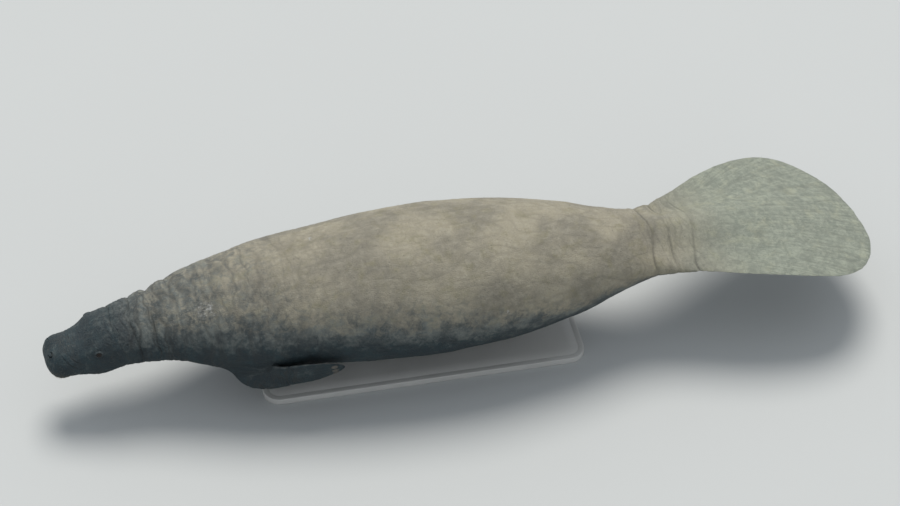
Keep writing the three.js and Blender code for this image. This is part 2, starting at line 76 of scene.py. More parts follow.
# The body's sections: place, half the width, height over and depth under the spine
SECTIONS = np.array(
    [
        (0.0, 0.0215, 0.01, 0.0155),  # muzzle face
        (0.014, 0.0245, 0.0145, 0.0195),  # muzzle pads
        (0.034, 0.029, 0.019, 0.026),  # mouth corner
        (0.047, 0.0325, 0.0225, 0.0295),  # bridge
        (0.062, 0.037, 0.031, 0.032),  # eyes
        (0.09, 0.041, 0.0365, 0.031),  # ears
        (0.13, 0.048, 0.043, 0.037),  # neck
        (0.2, 0.068, 0.054, 0.061),  # shoulders
        (0.3, 0.087, 0.068, 0.0745),  # chest
        (0.42, 0.098, 0.079, 0.081),  # girth
        (0.53, 0.094, 0.077, 0.0745),  # belly
        (0.625, 0.0765, 0.059, 0.0555),  # hips
        (0.675, 0.061, 0.042, 0.0405),  # tail stock
        (0.71, 0.0565, 0.0345, 0.033),  # narrowest
        (0.76, 0.069, 0.025, 0.024),  # paddle root
        (0.82, 0.0945, 0.0175, 0.017),  # paddle
        (0.88, 0.1125, 0.012, 0.0115),  # paddle middle
        (0.94, 0.1225, 0.008, 0.0078),  # widest paddle
        (1.0, 0.113, 0.0045, 0.0045),  # rim
    ]
)
NOSE_ROUND = 0.02  # share of the length in which the muzzle's face closes
NOSE_BLUNT = 2.6
RIM_ROUND = 0.14  # share of the length in which the paddle's end closes
RIM_BLUNT = 2.6
BLADE_FROM = 0.67
BLADE_TO = 0.8
BLADE_EDGE = 0.0042  # half the thickness of the blade near its side edges
BLADE_RIDGE = 0.42  # of the half width: how wide the thick middle of the blade is

# Soft swellings and hollows: place, degrees round the section, reach, height
FORMS = (
    (0.012, 214, 0.0155, 0.0058),  # lip pads
    (0.012, -34, 0.0155, 0.0058),
    (0.009, 270, 0.0075, -0.0045),  # lip cleft
    (0.02, 90, 0.018, 0.0025),  # snout top
    (0.0125, 122, 0.0105, 0.0035),  # nostril mounds
    (0.0125, 58, 0.0105, 0.0035),
    (0.046, 90, 0.018, -0.0022),  # bridge
    (0.052, 215, 0.02, 0.003),  # cheeks
    (0.052, -35, 0.02, 0.003),
    (0.032, 270, 0.016, 0.003),  # chin
    (0.057, 152, 0.012, 0.0024),  # brows
    (0.057, 28, 0.012, 0.0024),
    (0.235, 222, 0.05, 0.007),  # shoulders
    (0.235, -42, 0.05, 0.007),
)

# Creases round the neck and the tail stock: place, width and depth
CREASES = (
    (0.082, 0.0045, 0.0012),
    (0.104, 0.005, 0.0022),
    (0.128, 0.0055, 0.0026),
    (0.152, 0.0055, 0.0014),
    (0.716, 0.006, 0.0014),
    (0.741, 0.006, 0.0022),
    (0.767, 0.006, 0.0013),
)

EYE_AT = 0.0605
EYE_ANGLE = 24
EYE_RADIUS = 12.5 * MM
EYE_SUNK = 8.5 * MM
LID_RADIUS = 11 * MM
LID_NARROW = 0.62  # how high the open lid is against its length
EAR_AT = 0.094
EAR_ANGLE = 27
NOSTRIL_AT = 0.0092
NOSTRIL_ANGLE = 60
NOSTRIL_RADIUS = 10 * MM
NOSTRIL_FLAT = 0.8
NOSTRIL_ARC = 230
MOUTH_FRONT = 0.0125
MOUTH_BACK = 0.0385
MOUTH_SPREAD = 60

# The left flipper, from the shoulder back along the flank, in metres from the shoulder
SHOULDER_AT = 0.23
SHOULDER_ANGLE = 34
FLIPPER_SUNK = 0.062
ELBOW = (0.060, -0.030, -0.008)
WRIST = (0.165, -0.056, 0.006)
TIP = (0.316, -0.072, 0.026)
ROOT_CHORD = (-0.85, 0.0, -0.45)
HAND_CHORD = (-0.1, 0.4, -0.91)
TWIST_FROM = 0.1
TWIST_TO = 0.6
TIP_ROUND = 0.4
LEADING_EDGE = 0.3
# Share of the flipper, half its chord and half its thickness
FLIPPER_SECTIONS = np.array(
    [
        (0.0, 0.056, 0.046),
        (0.2, 0.054, 0.038),
        (0.42, 0.058, 0.027),
        (0.68, 0.068, 0.019),
        (0.86, 0.062, 0.013),
        (1.0, 0.050, 0.008),
    ]
)
NAIL_COUNT = 3
NAIL_AT = 0.915
NAIL_FIRST = 55
NAIL_LAST = 125
NAIL_HALF = (12 * MM, 8.5 * MM, 4.2 * MM)
NAIL_DEEPER = 1.3 * MM  # how much further the dressed nails sit in the skin

# The photograph's frame and the camera that saw it
PHOTO_WIDE = 900
PHOTO_TALL = 506
SENSOR = 36.0
FOCAL_PIXELS = 2560
CAMERA_AZIMUTH = -11.5
CAMERA_ELEVATION = 42.0
CAMERA_DISTANCE = 9.0
AIM = np.array([0.03, 0.0, 0.323])  # a point on the spine
AIM_PIXEL = (425, 278)  # and where the photograph shows it

# Scars: the pixel where the photograph shows each, and how far it spreads in metres
NECK_SCAR = ((205, 310), 0.05)
SHOULDER_SCAR = ((310, 238), 0.016)
FLANK_SCAR = ((508, 312), 0.014)
SCARS = (NECK_SCAR, SHOULDER_SCAR, FLANK_SCAR)


# Curves and random numbers


def smooth(x, low, high):
    """0 below low, 1 above high, and a soft step between them."""
    t = np.clip((x - low) / (high - low), 0, 1)
    return t * t * (3 - 2 * t)


def hump(x, middle, width):
    """A soft rise of height 1."""
    return np.exp(-(((x - middle) / width) ** 2))


def unit(v):
    return v / np.maximum(np.linalg.norm(v, axis=-1, keepdims=True), 1e-12)


def column(table, key, at):
    """The smooth curve through one column of a table, at places between its rows."""
    places, values = table[:, 0], table[:, key]
    before = np.r_[0, np.arange(len(places) - 1)]
    after = np.r_[np.arange(1, len(places)), len(places) - 1]
    slopes = (values[after] - values[before]) / (places[after] - places[before])
    i = np.clip(np.searchsorted(places, at, side="left") - 1, 0, len(places) - 2)
    step = places[i + 1] - places[i]
    t = (at - places[i]) / step
    t2, t3 = t * t, t * t * t
    start = (2 * t3 - 3 * t2 + 1) * values[i] + (t3 - 2 * t2 + t) * step * slopes[i]
    return start + (3 * t2 - 2 * t3) * values[i + 1] + (t3 - t2) * step * slopes[i + 1]


def scatter(cell, seed):
    """A repeatable number from 0 to 1 for each whole-numbered cell of space."""
    n = cell[..., 0] * 73856093 ^ cell[..., 1] * 19349663 ^ cell[..., 2] * 83492791
    n = (n + seed * 2654435761).astype(np.uint32)
    for shift, factor in ((16, 0x7FEB352D), (15, 0x846CA68B)):
        n ^= n >> np.uint32(shift)
        n *= np.uint32(factor)
    n ^= n >> np.uint32(16)
    return n / 2.0**32


# The twelve ways from a cube's middle to its edges
WAYS = np.array([w for w in itertools.product((-1, 0, 1), repeat=3) if np.abs(w).sum() == 2], float)


def noise(points, seed):
    """Soft random waves in space, about one unit long and from -1 to 1."""
    cell = np.floor(points).astype(np.int64)
    part = points - cell
    fade = part**3 * (part * (part * 6 - 15) + 10)
    total = np.zeros(points.shape[:-1])
    for corner in itertools.product((0, 1), repeat=3):
        way = WAYS[(scatter(cell + corner, seed) * len(WAYS)).astype(int)]
        weight = np.where(np.array(corner) > 0, fade, 1 - fade).prod(-1)
        total += weight * (way * (part - corner)).sum(-1)
    return total


def crack(waves, width):
    """1 along the lines where the waves pass through 0, falling to 0 beside them."""
    return np.exp(-((waves / width) ** 2))


# The body's shape


def along_line(shares, values, at):
    """The values of a line's points at places between them."""
    return np.stack([np.interp(at, shares, part) for part in values.T], -1)


def bent(bend, at):
    degrees, low, high = bend
    return degrees * smooth(at, low, high)


def spine_direction(at):
    nod = HEAD_NOD[0] - bent(HEAD_NOD, at)
    up = np.radians(nod + bent(STOCK_LIFT, at) - bent(TAIL_STROKE, at))
    aside = np.radians(HEAD_TURN[0] - bent(HEAD_TURN, at) + bent(TAIL_TURN, at))
    return np.stack([np.cos(up) * np.cos(aside), np.cos(up) * np.sin(aside), np.sin(up)], -1)


def summed_spine():
    """The spine's points, summed in short steps and then set on the pivot."""
    middles = (np.arange(SPINE_STEPS) + 0.5) / SPINE_STEPS
    steps = spine_direction(middles) * LENGTH / SPINE_STEPS
    points = np.concatenate([np.zeros((1, 3)), steps.cumsum(0)])
    pivot = round(PIVOT * SPINE_STEPS)
    return points - points[pivot] + [AXIS_FORWARD, 0, AXIS_HEIGHT]


SPINE = summed_spine()


def spine_point(at):
    return along_line(np.linspace(0, 1, SPINE_STEPS + 1), SPINE, at)


def spine_frame(at):
    """The directions along the spine, across it to the right, and up."""
    along = spine_direction(at)
    across = unit(np.cross([0, 0, 1.0], along))
    return along, across, np.cross(along, across)


def offsets(at, angle):
    """How far the plain body reaches from the spine, across and up, as shares of the length."""
    nose = (1 - (1 - np.clip(at / NOSE_ROUND, 0, 1)) ** NOSE_BLUNT) ** (1 / NOSE_BLUNT)
    rim = (1 - (1 - np.clip((1 - at) / RIM_ROUND, 0, 1)) ** RIM_BLUNT) ** (1 / RIM_BLUNT)
    c, s = np.cos(angle), np.sin(angle)
    side = column(SECTIONS, 1, at) * nose * rim
    height = np.where(s > 0, column(SECTIONS, 2, at), column(SECTIONS, 3, at)) * nose
    blade = BLADE_EDGE + (height - BLADE_EDGE) * np.exp(-((c / BLADE_RIDGE) ** 2))
    flat = smooth(at, BLADE_FROM, BLADE_TO)
    tall = (height + (blade - height) * flat) * np.minimum(1, np.sqrt(rim))
    return side * c, tall * s


def plain_point(at, angle):
    across, up = offsets(at, angle)
    _, aside, over = spine_frame(at)
    return spine_point(at) + (across[..., None] * aside + up[..., None] * over) * LENGTH


def straight_point(at, angle):
    """Where a place would be if the spine were straight, which patterns follow."""
    across, up = offsets(at, angle)
    return np.stack([at + 0 * across, across, up], -1) * LENGTH


FIRST_PLACE = 0.0004
LAST_PLACE = 0.9998
STEP_ALONG = 0.002
STEP_ROUND = 0.03  # radians


def plain_normal(at, angle):
    inside = np.clip(at, FIRST_PLACE, LAST_PLACE)
    before = np.maximum(at - STEP_ALONG, FIRST_PLACE)
    after = np.minimum(inside + STEP_ALONG, LAST_PLACE)
    along = plain_point(after, angle) - plain_point(before, angle)
    turned = plain_point(inside, angle + STEP_ROUND) - plain_point(inside, angle - STEP_ROUND)
    return unit(np.cross(turned, along))


FORM_CENTRES = [plain_point(np.array(at), np.radians(angle)) for at, angle, _, _ in FORMS]


def swelling(point):
    """How far the soft forms lift the plain body at each point."""
    rise = 0
    for centre, (_, _, reach, height) in zip(FORM_CENTRES, FORMS):
        far = ((point - centre) ** 2).sum(-1) / (reach * LENGTH) ** 2
        rise = rise + height * LENGTH * np.exp(-far)
    return rise


def body_point(at, angle, out=0.0):
    """A point of the body with its soft forms. out moves it outwards."""
    at, angle = np.asarray(at, float), np.asarray(angle, float)
    point = plain_point(at, angle)
    rise = swelling(point) + out
    for place, wide, deep in CREASES:
        rise = rise - deep * LENGTH * hump(at, place, wide)
    return point + plain_normal(at, angle) * rise[..., None]


def side_angle(degrees, side):
    """Radians round the section of a place so many degrees above the widest line."""
    return math.radians(180 - degrees if side < 0 else degrees)


def far_from(point, path):
    """How far each point is from a line, and at which share of the line it is nearest."""
    best = np.full(point.shape[:-1], np.inf)
    share = np.zeros(point.shape[:-1])
    for i, (a, b) in enumerate(zip(path[:-1], path[1:])):
        span = b - a
        t = np.clip(((point - a) @ span) / (span @ span), 0, 1)
        far = ((point - a - t[..., None] * span) ** 2).sum(-1)
        share = np.where(far < best, (i + t) / (len(path) - 1), share)
        best = np.minimum(best, far)
    return np.sqrt(best), share


def surface_path(stops, steps=24):
    """A line over the body through stops, each a place and degrees round the section."""
    t = np.linspace(0, 1, len(stops))
    table = np.column_stack([t, np.array(stops, float)])
    fine = np.linspace(0, 1, steps + 1)
    return body_point(column(table, 1, fine), np.radians(column(table, 2, fine)))


# The skin's details. Each works on a stretch of the body and changes its rise and the painted shade of its
# creases.


def press(skin, line, deep, shade_strength=1.0):
    """Presses a line into the skin, so much deep where it is 1, and darkens it as painted shade."""
    skin.rise -= deep * line
    # Painted shade: the pressed line is darkened in the hide's colour, as if shade lay in it.
    skin.crease_shade[...] = np.maximum(skin.crease_shade, np.clip(line * shade_strength, 0, 1))


def waves(skin, along, around, seed, warp=0.0):
    """Random waves that are so long along the body and around it."""
    straight = skin.straight
    if warp:
        shift = noise(straight / (3 * warp), seed + 50)
        straight = straight + np.stack([shift, 0 * shift, 0 * shift], -1) * warp
    return noise(straight / np.array([along, around, around]), seed)


def net_lines(skin, first, second, seed, warp, width):
    """A net from two sets of waves, each given as its lengths along the body and around it."""
    one = crack(waves(skin, *first, seed, warp), width)
    return np.maximum(one, crack(waves(skin, *second, seed + 1, warp), width))


def soft_lumps(skin):
    thin = 1 - 0.75 * smooth(skin.at, 0.7, 0.84)
    young = smooth(skin.at, 0.02, 0.2)
    skin.rise += thin * young * 4.5 * MM * noise(skin.straight / 0.21, 1)
    skin.rise += thin * (0.35 + 0.65 * young) * 1.6 * MM * noise(skin.straight / 0.075, 2)


def round_creases(skin):
    """The creases of the neck and the tail stock, each a little crooked and uneven."""
    above = 0.35 + 0.65 * smooth(np.sin(skin.angle), -0.6, 0.5)
    for i, (place, wide, deep) in enumerate(CREASES):
        crooked = noise(skin.straight / np.array([0.3, 0.14, 0.14]) + [0, 7.3 * i, 0], 3)
        uneven = noise(skin.straight / np.array([0.3, 0.11, 0.11]) + [0, 5.1 * i, 0], 4)
        strength = np.clip(0.75 + 1.3 * uneven, 0.1, 1.4) * above
        away = skin.at + 0.008 * crooked - place
        roll = np.exp(-((away / np.where(away > 0, wide * 1.3, wide * 0.6)) ** 2))
        skin.rise -= deep * LENGTH * roll * strength
        press(skin, hump(away, 0, wide * 0.22) * strength, 2.4 * MM, 0.8)


def ring_wrinkles(skin):
    """Wrinkles that run round the body, strongest at the neck and the tail stock."""
    neck = hump(skin.at, 0.125, 0.06)
    stock = hump(skin.at, 0.735, 0.05)
    chest = 0.6 * hump(skin.at, 0.24, 0.08)
    strength = 0.2 + neck + 0.45 * stock + chest
    strength = strength * smooth(skin.at, 0.035, 0.09) * (1 - 0.8 * smooth(skin.at, 0.8, 0.87))
    broad = crack(waves(skin, 0.034, 0.3, 5, 0.02), 0.11)
    fine = crack(waves(skin, 0.016, 0.13, 6, 0.012), 0.16)
    press(skin, strength * broad, 1.7 * MM, 0.8)
    press(skin, strength * fine, 0.8 * MM, 0.5)


def long_wrinkles(skin):
    """Fine wrinkles along the back and the flanks."""
    strength = smooth(skin.at, 0.12, 0.3) * (1 - smooth(skin.at, 0.68, 0.8))
    broad = crack(waves(skin, 0.16, 0.05, 7, 0.03), 0.11)
    press(skin, strength * broad, 0.8 * MM, 0.3)
    skin.rise += strength * 0.7 * MM * waves(skin, 0.16, 0.08, 28, 0.05)


def hide_net(skin):
    """The net of shallow furrows over the whole hide."""
    net = net_lines(skin, (0.03, 0.05), (0.05, 0.028), 8, 0.02, 0.1)
    strength = 0.5 + 0.5 * smooth(noise(skin.straight / 0.3, 10), -0.3, 0.4)
    thin = 1 - 0.7 * smooth(skin.at, 0.78, 0.86)
    press(skin, net * strength * thin * smooth(skin.at, 0.03, 0.12), 0.75 * MM, 0.35)


def armpits(skin):
    """Folds of loose hide round the root of each flipper."""
    for side in SIDES.values():
        angle = side_angle(-SHOULDER_ANGLE, side)
        far = np.linalg.norm(skin.point - body_point(SHOULDER_AT, angle), axis=-1)
        crooked = noise(skin.straight / 0.05, 11)
        folds = crack(np.sin(far / (7.5 * MM) + 2.4 * crooked), 0.33)
        reach = np.exp(-(((far - 0.085) / 0.04) ** 2))
        press(skin, folds * reach, 1.8 * MM, 0.7)


def eyelids(skin):
    """A narrow raised lid in fine ring and spoke wrinkles, open over the eye, with painted shade round the
    opening.
    """
    for side in SIDES.values():
        reach = skin.point - body_point(EYE_AT, side_angle(EYE_ANGLE, side))
        far = np.linalg.norm(reach, axis=-1)
        along, _, up = spine_frame(np.array(EYE_AT))
        narrow = np.hypot(far, reach @ up * math.sqrt(1 / LID_NARROW**2 - 1))
        turn = np.arctan2(reach @ up, reach @ along)
        skin.rise += 5.0 * MM * hump(narrow, 1.05 * LID_RADIUS, 3.7 * MM)
        skin.rise -= 1.8 * np.clip(8.5 * MM - narrow, 0, None)
        crooked = noise(skin.straight / 0.014, 12)
        rings = crack(np.sin(narrow / (1.25 * MM) + 1.6 * crooked), 0.45)
        press(skin, rings * hump(narrow, 22 * MM, 8 * MM), 0.95 * MM, 0.75)
        spokes = crack(np.sin(turn * 9 + 2.5 * crooked), 0.35)
        press(skin, spokes * hump(far, 16 * MM, 6 * MM), 0.9 * MM, 0.6)
        corners = np.exp(-((np.sin(turn) / 0.42) ** 2))
        creases = crack(np.sin(reach @ up / (1.3 * MM) + 1.5 * crooked), 0.45)
        press(skin, corners * creases * hump(far, 27 * MM, 10 * MM), 1.1 * MM, 0.7)
        # Painted shade round the eye's opening, darkest next to the eye.
        skin.crease_shade[...] = np.maximum(skin.crease_shade, 0.95 * smooth(20 * MM - narrow, 0, 11 * MM))


def ears(skin):
    for side in SIDES.values():
        centre = body_point(EAR_AT, side_angle(EAR_ANGLE, side))
        far = np.linalg.norm(skin.point - centre, axis=-1)
        press(skin, hump(far, 0, 2.6 * MM), 3.2 * MM, 1.0)
        skin.rise += 0.7 * MM * hump(far, 6.5 * MM, 2.4 * MM)


def nostrils(skin):
    """Each a shut valve: a crescent slit round a soft flap, open towards the middle."""
    for side in SIDES.values():
        angle = side_angle(NOSTRIL_ANGLE, side)
        centre = body_point(NOSTRIL_AT, angle)
        out = unit(body_point(NOSTRIL_AT, angle, MM) - centre)
        across = spine_frame(np.array(NOSTRIL_AT))[1] * side
        across = unit(across - (across @ out) * out)
        over = np.cross(out, across)
        u = (skin.point - centre) @ across / NOSTRIL_RADIUS
        v = (skin.point - centre) @ over / (NOSTRIL_RADIUS * NOSTRIL_FLAT)
        half = math.radians(NOSTRIL_ARC / 2)
        turn = np.clip(np.arctan2(v, u), -half, half)
        far = np.hypot(u - np.cos(turn), v - np.sin(turn)) * NOSTRIL_RADIUS
        depth = np.abs((skin.point - centre) @ out)
        near = np.exp(-((depth / (14 * MM)) ** 2))
        press(skin, near * hump(far, 0, 1.9 * MM), 6.5 * MM, 1.0)
        skin.rise += near * 1.5 * MM * hump(far, 5.2 * MM, 2.2 * MM)
        skin.rise += near * 1.4 * MM * hump(np.hypot(u, v), 0, 0.55)


def mouth(skin):
    t = np.linspace(-1, 1, 41)
    at = MOUTH_FRONT + (MOUTH_BACK - MOUTH_FRONT) * np.abs(t) ** 1.5
    path = body_point(at, np.radians(270 + MOUTH_SPREAD * t))
    far, _ = far_from(skin.point, path)
    press(skin, hump(far, 0, 2.4 * MM), 7.5 * MM, 1.0)
    skin.rise += 2.2 * MM * hump(far, 7.5 * MM, 3.4 * MM)


# Folds of the face, for the right side: stops as places and degrees, half width and depth
FACE_FOLDS = (
    (((0.019, 50), (0.0215, 30), (0.0265, 8), (0.034, -8), (0.040, -16)), 2.0, 2.4),
    (((0.027, 44), (0.0305, 24), (0.0375, 8), (0.0445, -2)), 1.8, 1.3),
    (((0.0385, -30), (0.0445, -27), (0.050, -34), (0.0535, -52)), 2.6, 2.6),
    (((0.031, 126), (0.0325, 105), (0.0318, 78), (0.034, 50)), 1.7, 1.2),
    (((0.0375, 120), (0.0365, 96), (0.0382, 74), (0.0372, 55)), 1.6, 1.0),
    (((0.043, 116), (0.0442, 92), (0.0428, 66)), 1.6, 0.9),
    (((0.050, -60), (0.047, -80), (0.0485, -100), (0.052, -122)), 2.8, 2.2),
    (((0.066, -46), (0.063, -72), (0.0645, -108), (0.067, -132)), 3.0, 2.0),
    (((0.070, 16), (0.0765, 8), (0.0815, -8), (0.082, -30)), 2.4, 1.6),
    (((0.066, 44), (0.0725, 38), (0.0775, 26), (0.0785, 14)), 2.0, 1.0),
)


def face_folds(skin):
    wander = noise(skin.straight / 0.016, 13) * 1.6 * MM
    for stops, wide, deep in FACE_FOLDS:
        crosses = stops[0][1] > 90 or stops[-1][1] < -90
        for side in (1,) if crosses else SIDES.values():
            path = surface_path([(at, a if side > 0 else 180 - a) for at, a in stops])
            far, share = far_from(skin.point, path)
            far = np.abs(far + wander)
            fade = np.sqrt(np.clip(np.sin(np.clip(share, 0.02, 0.98) * math.pi), 0, 1))
            press(skin, fade * hump(far, 0, wide * MM), deep * MM, 0.8)
            skin.rise += fade * 0.35 * deep * MM * hump(far, 2.8 * wide * MM, 1.7 * wide * MM)


def face_wrinkles(skin):
    """Fine wrinkles of the muzzle and the bridge, and the net of the cheeks."""
    muzzle = hump(skin.at, 0.03, 0.012)
    rings = crack(waves(skin, 0.0085, 0.045, 14, 0.006), 0.2)
    press(skin, muzzle * rings, 0.9 * MM, 0.7)
    pads = hump(skin.at, 0.01, 0.014)
    rough = crack(waves(skin, 0.011, 0.011, 15), 0.18)
    press(skin, pads * rough, 0.6 * MM, 0.5)
    cheeks = smooth(skin.at, 0.035, 0.05) * (1 - smooth(skin.at, 0.1, 0.13))
    net = net_lines(skin, (0.011, 0.017), (0.019, 0.01), 16, 0.006, 0.14)
    press(skin, cheeks * net, 0.65 * MM, 0.5)


# The navel and the slits of the belly's middle line: place, half length, half width and depth in mm
BELLY_MARKS = ((0.46, 9, 5, 3.0), (0.585, 26, 3, 3.5), (0.635, 14, 3.5, 3.0))


def underside(skin):
    """Presses them in, on the lower side only."""
    for place, long, wide, deep in BELLY_MARKS:
        centre = body_point(place, math.radians(270))
        reach = skin.point - centre
        along = spine_direction(np.array(place))
        far = np.hypot(reach @ along / (long * MM), reach[..., 1] / (wide * MM))
        below = np.sin(skin.angle) < 0
        press(skin, below * hump(far, 0, 1.0), deep * MM, 0.9)
        skin.rise += below * 0.9 * MM * hump(far, 2.4, 0.9)


def paddle(skin):
    """Low rays that spread to the paddle's rim, and a rim that isn't quite even."""
    blade = smooth(skin.at, 0.76, 0.84)
    along = skin.straight[..., 0] - 0.7 * LENGTH
    turn = np.arctan2(skin.straight[..., 1], along)
    far = np.hypot(skin.straight[..., 1], along)
    top = np.where(skin.straight[..., 2] > 0, 0.0, 40.0)
    fan = np.stack([turn * 17, far / 0.35, top], -1)
    skin.rise += blade * 1.1 * MM * noise(fan, 18)
    fine = np.stack([turn * 42, far / 0.22, top], -1)
    press(skin, blade * crack(noise(fine, 19), 0.13), 0.7 * MM, 0.4)
    across = np.stack([turn * 5, far / 0.045, top], -1)
    press(skin, blade * 0.7 * crack(noise(across, 20), 0.1), 0.7 * MM, 0.35)
    edge = np.maximum(smooth(np.abs(np.cos(skin.angle)), 0.955, 1), smooth(skin.at, 0.985, 1))
    ragged = noise(skin.straight / 0.055, 21) + 0.5 * noise(skin.straight / 0.02, 22)
    skin.rise += blade * edge * 2.2 * MM * ragged


DETAILS = (
    (0, 1, soft_lumps),
    (0.07, 0.79, round_creases),
    (0.03, 0.9, ring_wrinkles),
    (0.1, 0.82, long_wrinkles),
    (0.02, 1, hide_net),
    (0.15, 0.33, armpits),
    (0.03, 0.09, eyelids),
    (0.085, 0.105, ears),
    (0, 0.03, nostrils),
    (0, 0.06, mouth),
    (0, 0.095, face_folds),
    (0, 0.14, face_wrinkles),
    (0.4, 0.7, underside),
    (0.7, 1, paddle),
)

# The rings of the skin: from, to, how many, and how they crowd at a rounded end
RING_RUNS = (
    (0.0, 0.02, 56, "nose"),
    (0.02, 0.105, 200, ""),
    (0.105, 0.165, 78, ""),
    (0.165, 0.665, 350, ""),
    (0.665, 0.765, 80, ""),
    (0.765, 0.88, 92, ""),
    (0.88, 1.0, 100, "rim"),
)
AROUND = 420


def ring_places():
    runs = []
    for low, high, count, end in RING_RUNS:
        t = np.arange(count) / count
        if end == "nose":
            t = 1 - np.cos((t + 0.3 / count) * math.pi / 2)
        if end == "rim":
            t = np.sin((t + 0.3 / count) * math.pi / 2)
        runs.append(low + (high - low) * t)
    return np.concatenate(runs)


def camera_axes():
    """The camera's place, and its directions to the right, up and back."""
    a, e = math.radians(CAMERA_AZIMUTH), math.radians(CAMERA_ELEVATION)
    back = np.array([math.sin(a) * math.cos(e), -math.cos(a) * math.cos(e), math.sin(e)])
    right = unit(np.cross(-back, [0, 0, 1.0]))
    up = np.cross(back, right)
    per_pixel = CAMERA_DISTANCE / FOCAL_PIXELS
    middle = AIM + right * (PHOTO_WIDE / 2 - AIM_PIXEL[0]) * per_pixel
    middle = middle + up * (AIM_PIXEL[1] - PHOTO_TALL / 2) * per_pixel
    return middle + back * CAMERA_DISTANCE, right, up, back


def seen_at(points, normals, pixel):
    """The point that shows nearest a pixel of the photograph, on the side that faces it."""
    place, right, up, back = camera_axes()
    reach = points - place
    depth = -(reach @ back)
    x = PHOTO_WIDE / 2 + (reach @ right) / depth * FOCAL_PIXELS
    y = PHOTO_TALL / 2 - (reach @ up) / depth * FOCAL_PIXELS
    far = np.hypot(x - pixel[0], y - pixel[1]) + np.where(normals @ back > 0.15, 0, 1e6)
    return points.reshape(-1, 3)[far.argmin()]


BRISTLE_COUNT = 620
BRISTLE_TRIES = 40000
BRISTLE_SPACING = 3.4 * MM
# Where bristles grow thick: place, degrees round the section, how thick, and reach
BRISTLE_PATCHES = (
    (0.012, 214, 1.0, 30 * MM),  # lip pads
    (0.012, -34, 1.0, 30 * MM),
    (0.022, 270, 0.7, 24 * MM),  # chin
    (0.02, 90, 0.3, 34 * MM),  # top of the snout
)
HAIR_COUNT = 3200
PLACE_SEED, BRISTLE_SEED, HAIR_SEED = 7, 8, 9


@functools.lru_cache(maxsize=None)
def bristle_places():
    """Where the muzzle's bristles grow: places, angles and how big each is, from 0 to 1."""
    draw = np.random.default_rng(PLACE_SEED)
    at = draw.uniform(0.002, 0.05, BRISTLE_TRIES)
    angle = draw.uniform(0, FULL_TURN, BRISTLE_TRIES)
    point = body_point(at, angle)
    near = np.zeros(BRISTLE_TRIES)
    for place, degrees, thick, reach in BRISTLE_PATCHES:
        centre = body_point(place, math.radians(degrees))
        near += thick * np.exp(-(((point - centre) ** 2).sum(-1)) / reach**2)
    kept = []
    for i in np.flatnonzero(draw.uniform(0, 1, BRISTLE_TRIES) < near):
        if all(((point[i] - point[k]) ** 2).sum() > BRISTLE_SPACING**2 for k in kept):
            kept.append(i)
        if len(kept) == BRISTLE_COUNT:
            break
    kept = np.array(kept)
    return at[kept], angle[kept], np.clip(near[kept], 0, 1)


def bristle_pits(skin, places):
    """A small dimple round each bristle's root, darkened as painted shade."""
    at, angle, size = bristle_places()
    count = skin.point.shape[1]
    for a, turn, big in zip(at, angle, size):
        i = int(np.searchsorted(places, a))
        rows = slice(max(i - 9, 0), i + 10)
        cols = (round(turn / FULL_TURN * count) + np.arange(-7, 8)) % count
        root = body_point(a, turn)
        far = np.linalg.norm(skin.point[rows][:, cols] - root, axis=-1)
        dent = np.exp(-((far / (1.7 * MM)) ** 2)) - 0.5 * np.exp(-(((far - 3.2 * MM) / (1.5 * MM)) ** 2))
        block = np.ix_(np.arange(skin.rise.shape[0])[rows], cols)
        skin.rise[block] -= (0.5 + 0.7 * big) * MM * dent
        # Painted shade in the dimple.
        skin.crease_shade[block] = np.maximum(skin.crease_shade[block], 0.7 * np.clip(dent, 0, 1))


ROOT_BLEND = 0.055  # metres over which the skins of the body and a flipper run together
ROOT_SHARE = 0.26  # how much of a flipper's length takes part in it
ROOT_STRETCH = (0.12, 0.4)  # the stretch of the body that takes part in it


def run_together(points, rings):
    """How far to raise points close to another surface, so that both meet in a soft hollow."""
    flat = points.reshape(-1, 3)
    low, high = rings.min((0, 1)) - ROOT_BLEND, rings.max((0, 1)) + ROOT_BLEND
    quads, _ = tube_faces(*rings.shape[:2])
    tree = BVHTree.FromPolygons(rings.reshape(-1, 3).tolist(), quads.tolist())
    gap = np.full(len(flat), ROOT_BLEND)
    for i in np.flatnonzero(((flat > low) & (flat < high)).all(1)):
        found = tree.find_nearest(flat[i], ROOT_BLEND)[3]
        if found is not None:
            gap[i] = found
    return (ROOT_BLEND / 4 * (1 - gap / ROOT_BLEND) ** 2).reshape(points.shape[:2])


